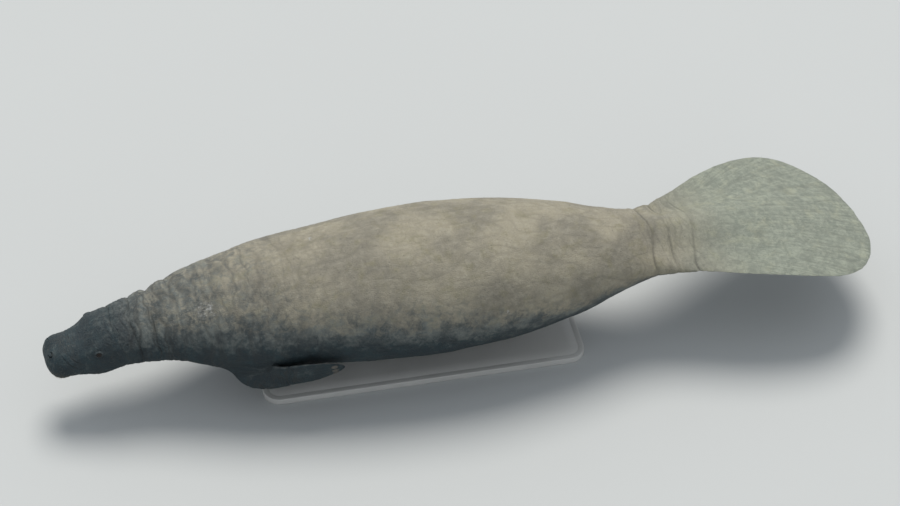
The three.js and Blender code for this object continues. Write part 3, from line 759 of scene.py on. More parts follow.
@functools.lru_cache(maxsize=None)
def body_skin(depth):
    """The whole skin of the body as rings of points, with what its materials follow."""
    places = ring_places()
    at = places[:, None]
    angle = (np.arange(AROUND) / AROUND * FULL_TURN)[None, :]
    skin = SimpleNamespace(at=at, angle=angle)
    skin.straight = straight_point(at, angle)
    plain = plain_point(at, angle)
    skin.normal = plain_normal(at, angle)
    skin.point = plain + skin.normal * swelling(plain)[..., None]
    shape = skin.point.shape[:2]
    skin.rise, skin.crease_shade, skin.scar = np.zeros(shape), np.zeros(shape), np.zeros(shape)
    for low, high, detail in DETAILS:
        rows = slice(*np.searchsorted(places, (low, high)))
        part = SimpleNamespace(
            at=at[rows],
            angle=angle,
            straight=skin.straight[rows],
            point=skin.point[rows],
            rise=skin.rise[rows],
            crease_shade=skin.crease_shade[rows],
        )
        detail(part)
    bristle_pits(skin, places)
    points = skin.point + skin.normal * (skin.rise * depth)[..., None]
    for pixel, reach in SCARS:
        centre = seen_at(points, skin.normal, pixel)
        far = np.linalg.norm(points - centre, axis=-1)
        rough = 0.35 * noise(skin.straight / 0.018, 23) + 0.25 * noise(skin.straight / 0.007, 24)
        patch = smooth(1 - far / reach + rough, 0.25, 0.75)
        points = points - skin.normal * (patch * (0.8 + 1.5 * noise(points / 0.009, 25)) * MM)[..., None]
        skin.scar = np.maximum(skin.scar, patch)
    skin.bare = points
    for side in SIDES.values():
        arm = flipper_skin(side, depth)
        rise = run_together(points, arm.point[arm.at[:, 0] < ROOT_SHARE])
        points = points + skin.normal * rise[..., None]
    skin.point = points
    turned = np.roll(points, -1, 1) - np.roll(points, 1, 1)
    skin.normal = unit(np.cross(turned, np.gradient(points, axis=0)))
    # The back mask: high on top and low on the flanks and underside, and lower towards the head. The hide
    # lays taupe with an algae film where it is high, and dark slate where it is low, and that dark is
    # partly painted shade, as if out of the overhead light.
    wander = 0.2 * noise(skin.straight / np.array([0.5, 0.2, 0.2]), 26)
    wander = wander + 0.12 * noise(skin.straight / 0.06, 27)
    upward = np.sin(angle) + wander + 0.62 * smooth(at, 0.3, 0.72)
    rising_from_head = 0.08 + 0.5 * smooth(at, 0.06, 0.14) + 0.42 * smooth(at, 0.14, 0.34)
    skin.back = smooth(upward, -0.28, 0.85) * rising_from_head
    skin.paddle = smooth(at + 0.02 * wander, 0.7, 0.84) + 0 * skin.back
    return skin


# The flippers


def mirrored(v, side):
    return np.array([v[0], -side * v[1], v[2]])


LINE_RUN = 400  # points of a flipper's middle line between two stops
LINE_STEPS = 1200  # of one length, into which the whole line is then cut


def flipper_line(side):
    """The middle line of a flipper in steps of one length, from inside the body to its tip."""
    angle = math.radians(180 + SHOULDER_ANGLE if side < 0 else -SHOULDER_ANGLE)
    shoulder = body_point(SHOULDER_AT, angle)
    inside = unit(shoulder - spine_point(np.array(SHOULDER_AT))) * FLIPPER_SUNK
    stops = [shoulder - inside, shoulder]
    stops += [shoulder + mirrored(v, side) for v in (ELBOW, WRIST, TIP)]
    stops = [2 * stops[0] - stops[1], *stops, 2 * stops[-1] - stops[-2]]
    t = np.linspace(0, 1, LINE_RUN, endpoint=False)[:, None]
    runs = []
    for a, b, c, d in zip(stops, stops[1:], stops[2:], stops[3:]):
        ab, bc, cd = (math.sqrt(np.linalg.norm(q - p)) for p, q in ((a, b), (b, c), (c, d)))
        leave = ((b - a) / ab - (c - a) / (ab + bc) + (c - b) / bc) * bc
        arrive = ((c - b) / bc - (d - b) / (bc + cd) + (d - c) / cd) * bc
        square = (-3 * b + 3 * c - 2 * leave - arrive) * t**2
        runs.append(b + leave * t + square + (2 * b - 2 * c + leave + arrive) * t**3)
    points = np.concatenate([*runs, [stops[-2]]])
    length = np.r_[0, np.linalg.norm(np.diff(points, axis=0), axis=-1).cumsum()]
    return along_line(length, points, np.linspace(0, length[-1], LINE_STEPS + 1))


def flipper_point(line, side, at, turn):
    """A point of a flipper. turn: radians round its section, from the leading edge."""
    shares = np.linspace(0, 1, len(line))
    point = along_line(shares, line, at)
    along = unit(along_line(shares, np.gradient(line, axis=0), at))
    twist = smooth(at, TWIST_FROM, TWIST_TO)[..., None]
    chord = mirrored(ROOT_CHORD, side) * (1 - twist) + mirrored(HAND_CHORD, side) * twist
    chord = unit(chord - (chord * along).sum(-1, keepdims=True) * along)
    face = np.cross(chord, along) * -side
    closed = np.maximum((at - (1 - TIP_ROUND)) / TIP_ROUND, 0)
    opened = np.sqrt(np.maximum(1 - closed**2, 0))
    wide = column(FLIPPER_SECTIONS, 1, at) * opened
    thick = column(FLIPPER_SECTIONS, 2, at) * np.sqrt(opened)
    c, s = np.cos(turn), np.sin(turn)
    over = thick * s * (1 + LEADING_EDGE * c)
    return point + chord * (wide * c)[..., None] + face * over[..., None]


NAIL_STEP = 0.02
NAIL_TURN = 0.1  # radians


def nail_frame(side, index):
    """A nail's middle and its directions along the hand, across it and through it."""
    line = flipper_line(side)
    turn = math.radians(NAIL_FIRST + (NAIL_LAST - NAIL_FIRST) * index / (NAIL_COUNT - 1))
    spots = np.array([NAIL_AT, NAIL_AT + NAIL_STEP, NAIL_AT])
    turns = np.array([turn, turn, turn + NAIL_TURN])
    centre, ahead, aside = flipper_point(line, side, spots, turns)
    ahead = unit(ahead - centre)
    aside = aside - centre
    aside = unit(aside - (aside @ ahead) * ahead)
    return centre, ahead, aside, np.cross(ahead, aside)


FLIPPER_RINGS = 170
FLIPPER_TIP_RINGS = 60
FLIPPER_AROUND = 180
FLIPPER_FLAT = (0.4, 0.07, 0.03)  # metres that its wrinkles take for its length and its two half widths


def flipper_skin(side, depth):
    """A flipper's skin as rings of points, with what its material follows."""
    arm = np.linspace(0, 1 - TIP_ROUND, FLIPPER_RINGS, endpoint=False)
    t = (np.arange(FLIPPER_TIP_RINGS) + 0.2) / FLIPPER_TIP_RINGS
    at = np.r_[arm, 1 - TIP_ROUND + TIP_ROUND * np.sin(t * math.pi / 2)][:, None]
    turn = (side * np.arange(FLIPPER_AROUND) / FLIPPER_AROUND * FULL_TURN)[None, :]
    line = flipper_line(side)
    point = flipper_point(line, side, at + 0 * turn, turn + 0 * at)
    turned = np.roll(point, -1, 1) - np.roll(point, 1, 1)
    normal = unit(np.cross(turned, np.gradient(point, axis=0)))
    long, wide, thick = FLIPPER_FLAT
    flat = np.broadcast_arrays(long * at, wide * np.cos(turn), thick * np.sin(turn))
    skin = SimpleNamespace(at=at, angle=turn, straight=np.stack(flat, -1) + [7.0, side * 3.0, 0])
    skin.rise, skin.crease_shade = np.zeros(point.shape[:2]), np.zeros(point.shape[:2])
    skin.rise += 1.3 * MM * noise(skin.straight / 0.05, 31)
    joints = hump(at, 0.3, 0.1) + 0.9 * hump(at, 0.52, 0.09) + 0.35
    press(skin, joints * crack(waves(skin, 0.02, 0.09, 32, 0.012), 0.14), 1.5 * MM, 0.8)
    press(skin, joints * crack(waves(skin, 0.009, 0.05, 33, 0.006), 0.17), 0.7 * MM, 0.5)
    press(skin, net_lines(skin, (0.014, 0.022), (0.024, 0.013), 34, 0.01, 0.12), 0.6 * MM, 0.4)
    hand = smooth(at, 0.5, 0.72) * (1 - smooth(at, 0.93, 1.0))
    for finger in (-0.62, -0.3, 0.02, 0.34, 0.64):
        bone = np.exp(-(((np.cos(turn) - finger * (0.6 + 0.4 * at)) / 0.1) ** 2))
        skin.rise += hand * bone * 1.3 * MM * (0.8 + 0.4 * noise(skin.straight / 0.05, 36))
    for index in range(NAIL_COUNT):
        centre, ahead, aside, _ = nail_frame(side, index)
        away = point - centre
        far = np.hypot(away @ ahead / NAIL_HALF[0], away @ aside / NAIL_HALF[1])
        close = np.linalg.norm(away, axis=-1) < 0.02
        skin.rise *= 1 - close * (1 - smooth(far, 1.0, 1.3))
        skin.rise += close * 0.9 * MM * hump(far, 1.32, 0.16)
        press(skin, close * hump(far, 1.04, 0.12), 0.8 * MM, 0.9)
    edge = smooth(np.abs(np.cos(turn)), 0.93, 1)
    skin.rise *= 1 - 0.65 * edge
    skin.rise += edge * smooth(at, 0.4, 0.6) * 0.7 * MM * noise(skin.straight / 0.05, 37)
    skin.point = point + normal * (skin.rise * depth)[..., None]
    skin.normal = normal
    skin.scar = 0 * skin.rise
    skin.paddle = 0 * skin.rise
    # Upward faces take a little of the back's lighter tone and the rest keeps the dark slate, which is
    # partly painted shade.
    skin.back = 0.03 + 0.22 * smooth(normal[..., 2], 0.2, 0.9) + 0.1 * noise(skin.straight / 0.06, 38)
    angle = side_angle(-SHOULDER_ANGLE, side)
    shift = straight_point(np.array(SHOULDER_AT), angle) - body_point(SHOULDER_AT, angle)
    skin.straight = skin.point + shift  # so that the hide's pattern runs on from the body
    return skin


# Meshes

BAKE_MAP = "OFBake"
# back is the mask of the upper side. The hide paints the top lighter and the sides below it partly as
# painted shade.
POINT_FACTS = ("back", "crease_shade", "scar", "paddle")


def placed(name, data):
    """A new object of the scene that shows a mesh, a lamp or a camera."""
    thing = bpy.data.objects.new(name, data)
    bpy.context.scene.collection.objects.link(thing)
    return thing


def read(data, key, wide=1, kind=np.int32):
    """One property of all that a mesh's list holds, as an array."""
    values = np.empty(len(data) * wide, kind)
    data.foreach_get(key, values)
    return values.reshape(-1, wide) if wide > 1 else values


def make_mesh(name, points, quads, triangles=None, facts=None, corners=None):
    """A smooth mesh. facts: a number for each point, by name. corners: the bake map, by corner."""
    triangles = np.zeros((0, 3), int) if triangles is None else triangles
    me = bpy.data.meshes.new(name)
    me.vertices.add(len(points))
    me.vertices.foreach_set("co", np.asarray(points, np.float32).ravel())
    index = np.concatenate([quads.ravel(), triangles.ravel()])
    me.loops.add(len(index))
    me.loops.foreach_set("vertex_index", index.astype(np.int32))
    sizes = np.r_[np.full(len(quads), 4), np.full(len(triangles), 3)]
    me.polygons.add(len(sizes))
    me.polygons.foreach_set("loop_start", (sizes.cumsum() - sizes).astype(np.int32))
    me.update(calc_edges=True)
    me.validate()
    me.shade_smooth()
    for fact, values in (facts or {}).items():
        kind = "FLOAT" if values.ndim == 1 else "FLOAT_VECTOR"
        layer = me.attributes.new(fact, kind, "POINT")
        key = "value" if kind == "FLOAT" else "vector"
        layer.data.foreach_set(key, values.astype(np.float32).ravel())
    if corners is not None:
        layer = me.uv_layers.new(name=BAKE_MAP)
        layer.uv.foreach_set("vector", corners.astype(np.float32).ravel())
    return me


def make_piece(name, me, material, replaced):
    """A piece that rides on the model, stands for CAD nodes and takes the given material."""
    piece = placed(name, me)
    me.materials.clear()
    me.materials.append(material)
    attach(piece, "root")
    if replaced:
        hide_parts(*replaced)
    return piece


def tube_faces(count, around):
    """Quads between rings, and triangles to a middle point at each end, which come last."""
    i = np.arange(count - 1)[:, None] * around
    j = np.arange(around)[None, :]
    k = (j + 1) % around
    quads = np.stack([i + j, i + k, i + around + k, i + around + j], -1).reshape(-1, 4)
    j, k = j[0], k[0]
    first, last = count * around, count * around + 1
    end = (count - 1) * around
    start_fan = np.stack([k, j, np.full(around, first)], -1)
    end_fan = np.stack([end + j, end + k, np.full(around, last)], -1)
    return quads, np.concatenate([start_fan, end_fan])


def tube_map(quads, triangles, count, around, box):
    """The bake map of a tube: along it from left to right of a box, and round it upwards."""
    left, low, right, high = box

    def spread(faces):
        ring, place = np.divmod(faces, around)
        middle = faces >= count * around
        ring[middle] = np.where(faces[middle] == count * around, 0, count - 1)
        place = place.astype(float)
        place[middle] = np.nan
        wraps = np.nanmax(place, 1) - np.nanmin(place, 1) > around / 2
        place = np.where(wraps[:, None] & (place < around / 2), place + around, place)
        mean = np.nanmean(place, 1)[:, None]
        place = np.where(np.isnan(place), mean, place)
        u = left + (right - left) * ring / (count - 1)
        v = low + (high - low) * place / around
        return np.stack([u, v], -1).reshape(-1, 2)

    return np.concatenate([spread(quads), spread(triangles)])


def with_ends(rings):
    """All values of some rings in one list, with the mean of the first and of the last ring after them."""
    own = rings.reshape(-1, *rings.shape[2:])
    return np.concatenate([own, rings[0].mean(0)[None], rings[-1].mean(0)[None]])


def tube_mesh(name, rings, facts=None, box=None):
    """A closed mesh from an array of rings of points, first to last."""
    count, around = rings.shape[:2]
    quads, fans = tube_faces(count, around)
    corners = tube_map(quads, fans, count, around, box) if box else None
    made = {}
    for fact, values in (facts or {}).items():
        made[fact] = with_ends(np.broadcast_to(values, (count, around, *values.shape[2:])))
    return make_mesh(name, with_ends(rings), quads, fans, made, corners)


def skin_facts(skin):
    facts = {fact: getattr(skin, fact) for fact in POINT_FACTS}
    facts["straight"] = skin.straight
    return facts


def united(base, others):
    """The base mesh object with others fused to it, as one new mesh."""
    for other in others:
        step = base.modifiers.new("join", "BOOLEAN")
        step.object = other
        step.operation = "UNION"
        step.solver = "MANIFOLD"
    graph = bpy.context.evaluated_depsgraph_get()
    me = bpy.data.meshes.new_from_object(base.evaluated_get(graph))
    for other in others:
        bpy.data.objects.remove(other)
    base.modifiers.clear()
    return me


ROOT_REACH = 0.035  # metres from a flipper's root over which the skin is faired
ROOT_ROUNDS = 80
FAIRED = ("back", "crease_shade")  # facts that are evened there


def fair_roots(me):
    """Rounds the corner where each flipper leaves the body, and evens tone and pattern across it."""
    count = len(me.vertices)
    co = read(me.vertices, "co", 3, np.float32).astype(float)
    index = read(me.loops, "vertex_index")
    owner = np.repeat(read(me.attributes["grown"].data, "value"), read(me.polygons, "loop_total"))
    touched = np.zeros((count, 2), bool)
    touched[index[owner == 0], 0] = True
    touched[index[owner > 0], 1] = True
    seam = co[touched.all(1)]
    near = np.flatnonzero((co > seam.min(0) - ROOT_REACH).all(1) & (co < seam.max(0) + ROOT_REACH).all(1))
    far = np.full(count, np.inf)
    for some in np.array_split(near, max(len(near) // 2000, 1)):
        gaps = ((co[some][:, None] - seam[None]) ** 2).sum(-1)
        far[some] = np.sqrt(gaps.min(1))
    weight = np.clip(1 - far / ROOT_REACH, 0, 1)
    edges = read(me.edges, "vertices", 2)
    edges = edges[(weight[edges] > 0).any(1)]
    moved = np.unique(edges)
    local = np.full(count, -1)
    local[moved] = np.arange(len(moved))
    a, b = local[edges].T
    pairs = np.bincount(np.r_[a, b], minlength=len(moved))
    tones = [read(me.attributes[fact].data, "value", 1, np.float32) for fact in FAIRED]
    straight = read(me.attributes["straight"].data, "vector", 3, np.float32)
    columns = np.concatenate([co, straight - co, np.transpose(tones)], 1)
    place, pull = columns[moved], (weight[moved] ** 1.5)[:, None]
    for _ in range(ROOT_ROUNDS):
        total = np.stack([np.bincount(np.r_[a, b], np.r_[v[b], v[a]], len(moved)) for v in place.T], -1)
        place = place + pull * 0.8 * (total / pairs[:, None] - place)
    columns[moved] = place
    columns = columns.astype(np.float32)
    me.vertices.foreach_set("co", columns[:, :3].ravel())
    me.attributes["straight"].data.foreach_set("vector", (columns[:, 3:6] + columns[:, :3]).ravel())
    for fact, row in zip(FAIRED, columns.T[6:]):
        me.attributes[fact].data.foreach_set("value", np.ascontiguousarray(row))
    me.update()


# Materials


class Nodes:
    """A material's nodes, each made by a short call that gives back its first output."""

    def __init__(self, name):
        self.material = bpy.data.materials.new(name)
        self.material.use_nodes = True
        self.tree = self.material.node_tree
        self.shader = next(n for n in self.tree.nodes if n.type == "BSDF_PRINCIPLED")

    def put(self, socket, value):
        if isinstance(value, bpy.types.NodeSocket):
            self.tree.links.new(value, socket)
        else:
            socket.default_value = value

    def add(self, kind, inputs=(), **settings):
        node = self.tree.nodes.new(kind)
        for key, value in settings.items():
            setattr(node, key, value)
        for key, value in dict(inputs).items():
            self.put(node.inputs[key], value)
        return node

    def fact(self, name):
        """A number that the mesh holds for each point."""
        return self.add("ShaderNodeAttribute", attribute_name=name).outputs["Fac"]

    def place(self):
        """Where each point lies on the straightened body, which patterns follow."""
        return self.add("ShaderNodeAttribute", attribute_name="straight").outputs["Vector"]

    def spot(self):
        return self.add("ShaderNodeTexCoord").outputs["Object"]

    def scaled(self, vector, by):
        node = self.add("ShaderNodeVectorMath", {0: vector, 1: by}, operation="MULTIPLY")
        return node.outputs[0]

    def noise(self, vector, scale, detail=4.0, roughness=0.55, distortion=0.0):
        inputs = {"Vector": vector, "Scale": scale, "Detail": detail}
        inputs |= {"Roughness": roughness, "Distortion": distortion}
        return self.add("ShaderNodeTexNoise", inputs).outputs["Fac"]

    def cells(self, vector, scale):
        """How far each place is from the nearest edge of a net of random cells."""
        inputs = {"Vector": vector, "Scale": scale}
        return self.add("ShaderNodeTexVoronoi", inputs, feature="DISTANCE_TO_EDGE").outputs["Distance"]

    def span(self, value, low, high, start=0.0, end=1.0):
        """The value carried from low and high to start and end, softly and no further."""
        inputs = {"Value": value, "From Min": low, "From Max": high, "To Min": start, "To Max": end}
        return self.add("ShaderNodeMapRange", inputs, interpolation_type="SMOOTHSTEP").outputs["Result"]

    def math(self, operation, a, b=0.0):
        return self.add("ShaderNodeMath", {0: a, 1: b}, operation=operation).outputs[0]

    def mix(self, share, a, b):
        node = self.add("ShaderNodeMix", data_type="RGBA")
        self.put(node.inputs["Factor"], share)
        self.put(node.inputs[6], a)
        self.put(node.inputs[7], b)
        return node.outputs[2]

    def layer(self, colour, tone, value, low, high, start=0.0, end=1.0):
        """A colour with a tone laid over it, as thick as the value spans."""
        return self.mix(self.span(value, low, high, start, end), colour, tone)

    def bump(self, height, distance, strength):
        inputs = {"Height": height, "Distance": distance, "Strength": strength}
        return self.add("ShaderNodeBump", inputs).outputs["Normal"]

    def finish(self, **sockets):
        for name, value in sockets.items():
            self.put(self.shader.inputs[name.replace("_", " ")], value)
        return self.material


def hide_material(look):
    """Thick wrinkled hide: slate below, partly painted shade, and taupe with a film of algae above. It has
    painted shade in its creases, and old scars.
    """
    n = Nodes("hide")
    at = n.place()
    back, crease_shade, scar, paddle_part = (n.fact(name) for name in ("back", "crease_shade", "scar", "paddle"))
    wide = n.noise(at, 5.0, 5, 0.6)
    patch = n.noise(at, 19.0, 6, 0.62, 0.4)
    streak = n.noise(n.scaled(at, (0.7, 1, 1)), 48.0, 6, 0.65, 0.5)
    speck = n.noise(at, 230.0, 3, 0.5)
    grit = n.noise(at, 620.0, 2, 0.5)
    blotch = n.noise(at, 42.0, 5, 0.65, 0.6)

    # The slate and grey of the flanks, head and underside are partly painted shade. The taupe and algae
    # are the back's own film, and the back mask blends them from the sides up to the top.
    colour = n.layer(look.slate_and_shade_dark, look.slate_and_shade, patch, 0.35, 0.68)
    above = n.layer(look.taupe_dark, look.taupe, wide, 0.36, 0.64)
    above = n.layer(above, look.algae, patch, 0.48, 0.72, 0, 0.55)
    above = n.layer(above, look.taupe_pale, streak, 0.42, 0.7, 0, 0.34)
    side = n.layer(look.grey_and_half_shade_dark, look.grey_and_half_shade, patch, 0.36, 0.66)
    upper = n.math("ADD", back, n.span(blotch, 0.3, 0.7, -0.14, 0.14))
    colour = n.layer(colour, side, upper, 0.02, 0.5)
    colour = n.layer(colour, above, upper, 0.4, 0.95)
    tail = n.layer(look.paddle_dark, look.paddle, blotch, 0.38, 0.64)
    tail = n.layer(tail, look.paddle_pale, patch, 0.5, 0.74, 0, 0.55)
    # The paddle's paler tone is laid mostly on its upper faces, which is partly painted light. Its lower
    # faces keep more of the painted shade of the flanks.
    lit = n.math("MULTIPLY", paddle_part, n.span(back, 0.0, 0.8, 0.35, 0.95))
    colour = n.mix(lit, colour, tail)

    pale = n.span(back, 0.0, 0.6, 0.1, 0.38)
    colour = n.mix(n.math("MULTIPLY", n.span(speck, 0.6, 0.74), pale), colour, look.speck_pale)
    colour = n.layer(colour, look.speck_dark, speck, 0.38, 0.27, 0, 0.5)
    dust = n.span(back, 0.0, 0.6, 0.06, 0.2)
    colour = n.mix(n.math("MULTIPLY", n.span(grit, 0.58, 0.75), dust), colour, look.speck_pale)
    # Painted shade in creases, wrinkles, slits, holes and pits.
    colour = n.mix(n.math("MULTIPLY", crease_shade, 0.62), colour, look.crease_shade)
    flecks = n.noise(at, 95.0, 4, 0.6, 0.5)
    colour = n.mix(n.math("MULTIPLY", scar, n.span(flecks, 0.5, 0.62, 0.12, 0.8)), colour, look.scar)
    colour = n.mix(n.math("MULTIPLY", scar, n.span(flecks, 0.44, 0.36, 0, 0.7)), colour, look.speck_dark)

    rough = n.span(n.math("ADD", patch, n.math("MULTIPLY", grit, 0.4)), 0.45, 0.95, 0.5, 0.72)
    plates = n.cells(at, 105.0)
    small = n.cells(n.scaled(at, (1.25, 1, 1)), 290.0)
    height = n.math("ADD", n.span(plates, 0.0, 0.14, 0, 0.8), n.span(small, 0.0, 0.18, 0, 0.45))
    height = n.math("ADD", height, n.math("MULTIPLY", n.noise(at, 420.0, 4, 0.6), 0.6))
    normal = n.bump(height, 0.0011, 0.75)
    return n.finish(Base_Color=colour, Roughness=rough, Normal=normal, Specular_IOR_Level=0.25)


def eye_material(look):
    """A dark wet eye: black pupil, brown iris with spokes, and a ruddy white round it."""
    n = Nodes("eye")
    off = n.fact("off")
    at = n.place()
    spokes = n.noise(n.scaled(at, (60, 60, 1)), 1.0, 3, 0.6)
    iris = n.layer(look.iris_dark, look.iris, spokes, 0.35, 0.65)
    white = n.mix(n.noise(at, 500.0, 3), look.white, look.white_dark)
    colour = n.layer(iris, white, off, 0.40, 0.5)
    colour = n.layer(colour, look.pupil, off, 0.2, 0.16)
    ring = n.math("MULTIPLY", n.span(off, 0.34, 0.43), n.span(off, 0.52, 0.45))
    colour = n.mix(n.math("MULTIPLY", ring, 0.7), colour, look.pupil)
    rough = n.span(n.noise(at, 300.0, 2), 0.3, 0.7, 0.05, 0.12)
    return n.finish(
        Base_Color=colour,
        Roughness=rough,
        Coat_Weight=0.15,
        Coat_Roughness=0.03,
        Specular_IOR_Level=0.18,
        Normal=n.bump(n.noise(at, 260.0, 3), 0.0002, 0.4),
    )


def nail_material(look):
    """Worn horn with fine growth lines and paler scratches."""
    n = Nodes("nail")
    at = n.place()
    lines = n.noise(n.scaled(at, (1, 7, 7)), 110.0, 4, 0.6)
    rings = n.noise(n.scaled(at, (5, 1, 1)), 60.0, 2, 0.5)
    colour = n.layer(look.horn_dark, look.horn, lines, 0.35, 0.68)
    colour = n.layer(colour, look.horn_pale, rings, 0.45, 0.75, 0, 0.35)
    colour = n.layer(colour, look.horn_stain, n.noise(at, 90.0, 5, 0.7), 0.5, 0.72, 0, 0.7)
    height = n.math("ADD", n.math("MULTIPLY", lines, 0.6), n.math("MULTIPLY", rings, 0.8))
    rough = n.span(lines, 0.3, 0.7, 0.34, 0.52)
    return n.finish(Base_Color=colour, Roughness=rough, Normal=n.bump(height, 0.0004, 0.7))


def hair_material(look, name, root, tip):
    n = Nodes(name)
    share = n.fact("share")
    colour = n.layer(root, tip, share, 0.1, 0.9)
    tint = n.noise(n.spot(), 45.0, 3, 0.6)
    colour = n.layer(colour, look.straw_dark, tint, 0.35, 0.65, 0, 0.5)
    rough = n.span(tint, 0.3, 0.7, 0.38, 0.5)
    height = n.noise(n.spot(), 1800.0, 2)
    return n.finish(Base_Color=colour, Roughness=rough, Normal=n.bump(height, 0.0001, 0.3))


def paint_material(look):
    """Satin paint with a faint orange peel, dust and rubbed edges."""
    n = Nodes("stand_paint")
    at = n.spot()
    cloud = n.noise(at, 3.2, 5, 0.6)
    colour = n.layer(look.paint, look.paint_shade, cloud, 0.35, 0.65)
    colour = n.layer(colour, look.paint_fleck, n.noise(at, 480.0, 2), 0.66, 0.74, 0, 0.35)
    edge = n.add("ShaderNodeNewGeometry").outputs["Pointiness"]
    colour = n.layer(colour, look.paint_worn, edge, 0.53, 0.6, 0, 0.5)
    peel = n.noise(at, 240.0, 3, 0.5)
    rough = n.span(n.noise(at, 9.0, 6, 0.7), 0.3, 0.7, 0.36, 0.5)
    return n.finish(Base_Color=colour, Roughness=rough, Normal=n.bump(peel, 0.0004, 0.22))


def steel_material(look):
    """Brushed steel: fine lines round each turned piece, with faint stains."""
    n = Nodes("stand_steel")
    at = n.spot()
    lines = n.noise(n.scaled(at, (1.5, 1.5, 60)), 45.0, 5, 0.7)
    stain = n.noise(at, 26.0, 6, 0.65)
    colour = n.layer(look.steel_dark, look.steel, lines, 0.35, 0.65)
    colour = n.layer(colour, look.steel_stain, stain, 0.5, 0.75, 0, 0.5)
    rough = n.span(n.math("ADD", lines, n.math("MULTIPLY", stain, 0.5)), 0.5, 1.0, 0.24, 0.42)
    normal = n.bump(lines, 0.0002, 0.35)
    return n.finish(Base_Color=colour, Roughness=rough, Metallic=1.0, Normal=normal, Anisotropic=0.4)


def felt_material(look):
    """Dark felt between the saddles and the belly."""
    n = Nodes("stand_felt")
    at = n.spot()
    fuzz = n.noise(at, 900.0, 4, 0.7)
    colour = n.layer(look.felt_dark, look.felt, n.noise(at, 60.0, 5, 0.7), 0.35, 0.65)
    rough = n.span(fuzz, 0.3, 0.7, 0.85, 1.0)
    return n.finish(Base_Color=colour, Roughness=rough, Normal=n.bump(fuzz, 0.0006, 0.8), Sheen_Weight=0.5)


def floor_material(look):
    n = Nodes("studio_floor")
    cloud = n.noise(n.spot(), 0.8, 4, 0.5)
    shade = tuple(c * 0.97 for c in look.floor[:3]) + (1,)
    return n.finish(Base_Color=n.mix(cloud, look.floor, shade), Roughness=0.75)


# Pieces

FLESH = ("head", "neck", "torso", "tail_stock", "tail_paddle", "flipper_left", "flipper_right")
BODY_BOX = (0.0, 0.0, 1.0, 0.86)  # the parts of the bake map that each skin fills
FLIPPER_BOXES = {"left": (0.0, 0.88, 0.49, 1.0), "right": (0.51, 0.88, 1.0, 1.0)}


def make_skin(look):
    body = body_skin(look.depth)
    me = tube_mesh("body", body.point, skin_facts(body), BODY_BOX)
    base = placed("manatee_skin", me)
    me.attributes.new("grown", "INT", "FACE")
    others = []
    for name, side in SIDES.items():
        arm = flipper_skin(side, look.depth)
        close = body.bare[slice(*np.searchsorted(body.at[:, 0], ROOT_STRETCH))]
        rise = run_together(arm.point, close) * (1 - smooth(arm.at, 0.6 * ROOT_SHARE, 1.3 * ROOT_SHARE))
        rings = arm.point + arm.normal * rise[..., None]
        arm_me = tube_mesh("arm", rings, skin_facts(arm), FLIPPER_BOXES[name])
        layer = arm_me.attributes.new("grown", "INT", "FACE")
        layer.data.foreach_set("value", np.ones(len(arm_me.polygons), np.int32))
        others.append(placed("arm", arm_me))
    whole = united(base, others)
    bpy.data.objects.remove(base)
    fair_roots(whole)
    whole.shade_smooth()
    return make_piece("manatee_skin", whole, hide_material(look), FLESH)


def make_eye(name, side, material):
    """An eyeball with a clear dome, looking straight out of the head."""
    angle = side_angle(EYE_ANGLE, side)
    centre = body_point(EYE_AT, angle, -EYE_SUNK)
    gaze = unit(body_point(EYE_AT, angle, MM) - body_point(EYE_AT, angle))
    across = unit(np.cross([0, 0, 1.0], gaze))
    over = np.cross(gaze, across)
    off = np.linspace(0.02, math.pi - 0.05, 60)[:, None]
    turn = -np.linspace(0, FULL_TURN, 72, endpoint=False)[None, :]
    radius = EYE_RADIUS * (1 + 0.05 * np.exp(-((off / 0.42) ** 2)))
    x, y, z = np.sin(off) * np.cos(turn), np.sin(off) * np.sin(turn), np.cos(off) + 0 * turn
    way = x[..., None] * across + y[..., None] * over + z[..., None] * gaze
    rings = centre + radius[..., None] * way
    polar = np.stack([turn / FULL_TURN * 2 + 0 * off, off * 0.02 + 0 * turn, 0 * x], -1)
    me = tube_mesh("eye", rings, {"off": off + 0 * turn, "straight": polar})
    return make_piece(f"manatee_eye_{name}", me, material, [f"eye_{name}"])


def make_nail(name, side, index, material):
    """A flat oval of horn with a thin free end and low growth ridges."""
    centre, ahead, aside, through = nail_frame(side, index)
    line = flipper_line(side)
    inward = line[round(NAIL_AT * (len(line) - 1))] - centre
    centre = centre + through * math.copysign(NAIL_DEEPER, through @ inward)
    t = np.linspace(0.03, 0.97, 46)[:, None]
    turn = -np.linspace(0, FULL_TURN, 60, endpoint=False)[None, :]
    far = np.sin(t * math.pi) ** 0.8
    x = -np.cos(t * math.pi) * 1.02
    narrow = 1 - 0.14 * smooth(x, 0.2, 1.0)
    y, z = far * np.cos(turn) * narrow, far * np.sin(turn) * (1 - 0.35 * smooth(x, 0.4, 1.0))
    ridges = 0.018 * np.cos(y * 22) + 0.02 * np.cos(x * 17 + index)
    z = z * (1 + ridges)
    half = NAIL_HALF
    rings = centre + (x + 0 * turn)[..., None] * ahead * half[0]
    rings = rings + y[..., None] * aside * half[1] + z[..., None] * through * half[2]
    local = np.stack([(x + 0 * turn) * half[0], y * half[1], z * half[2]], -1)
    me = tube_mesh("nail", rings, {"straight": local + index * 0.1 + side * 0.5})
    node = f"nail_{name}_{index + 1}"
    return make_piece(f"manatee_{node}", me, material, [node])


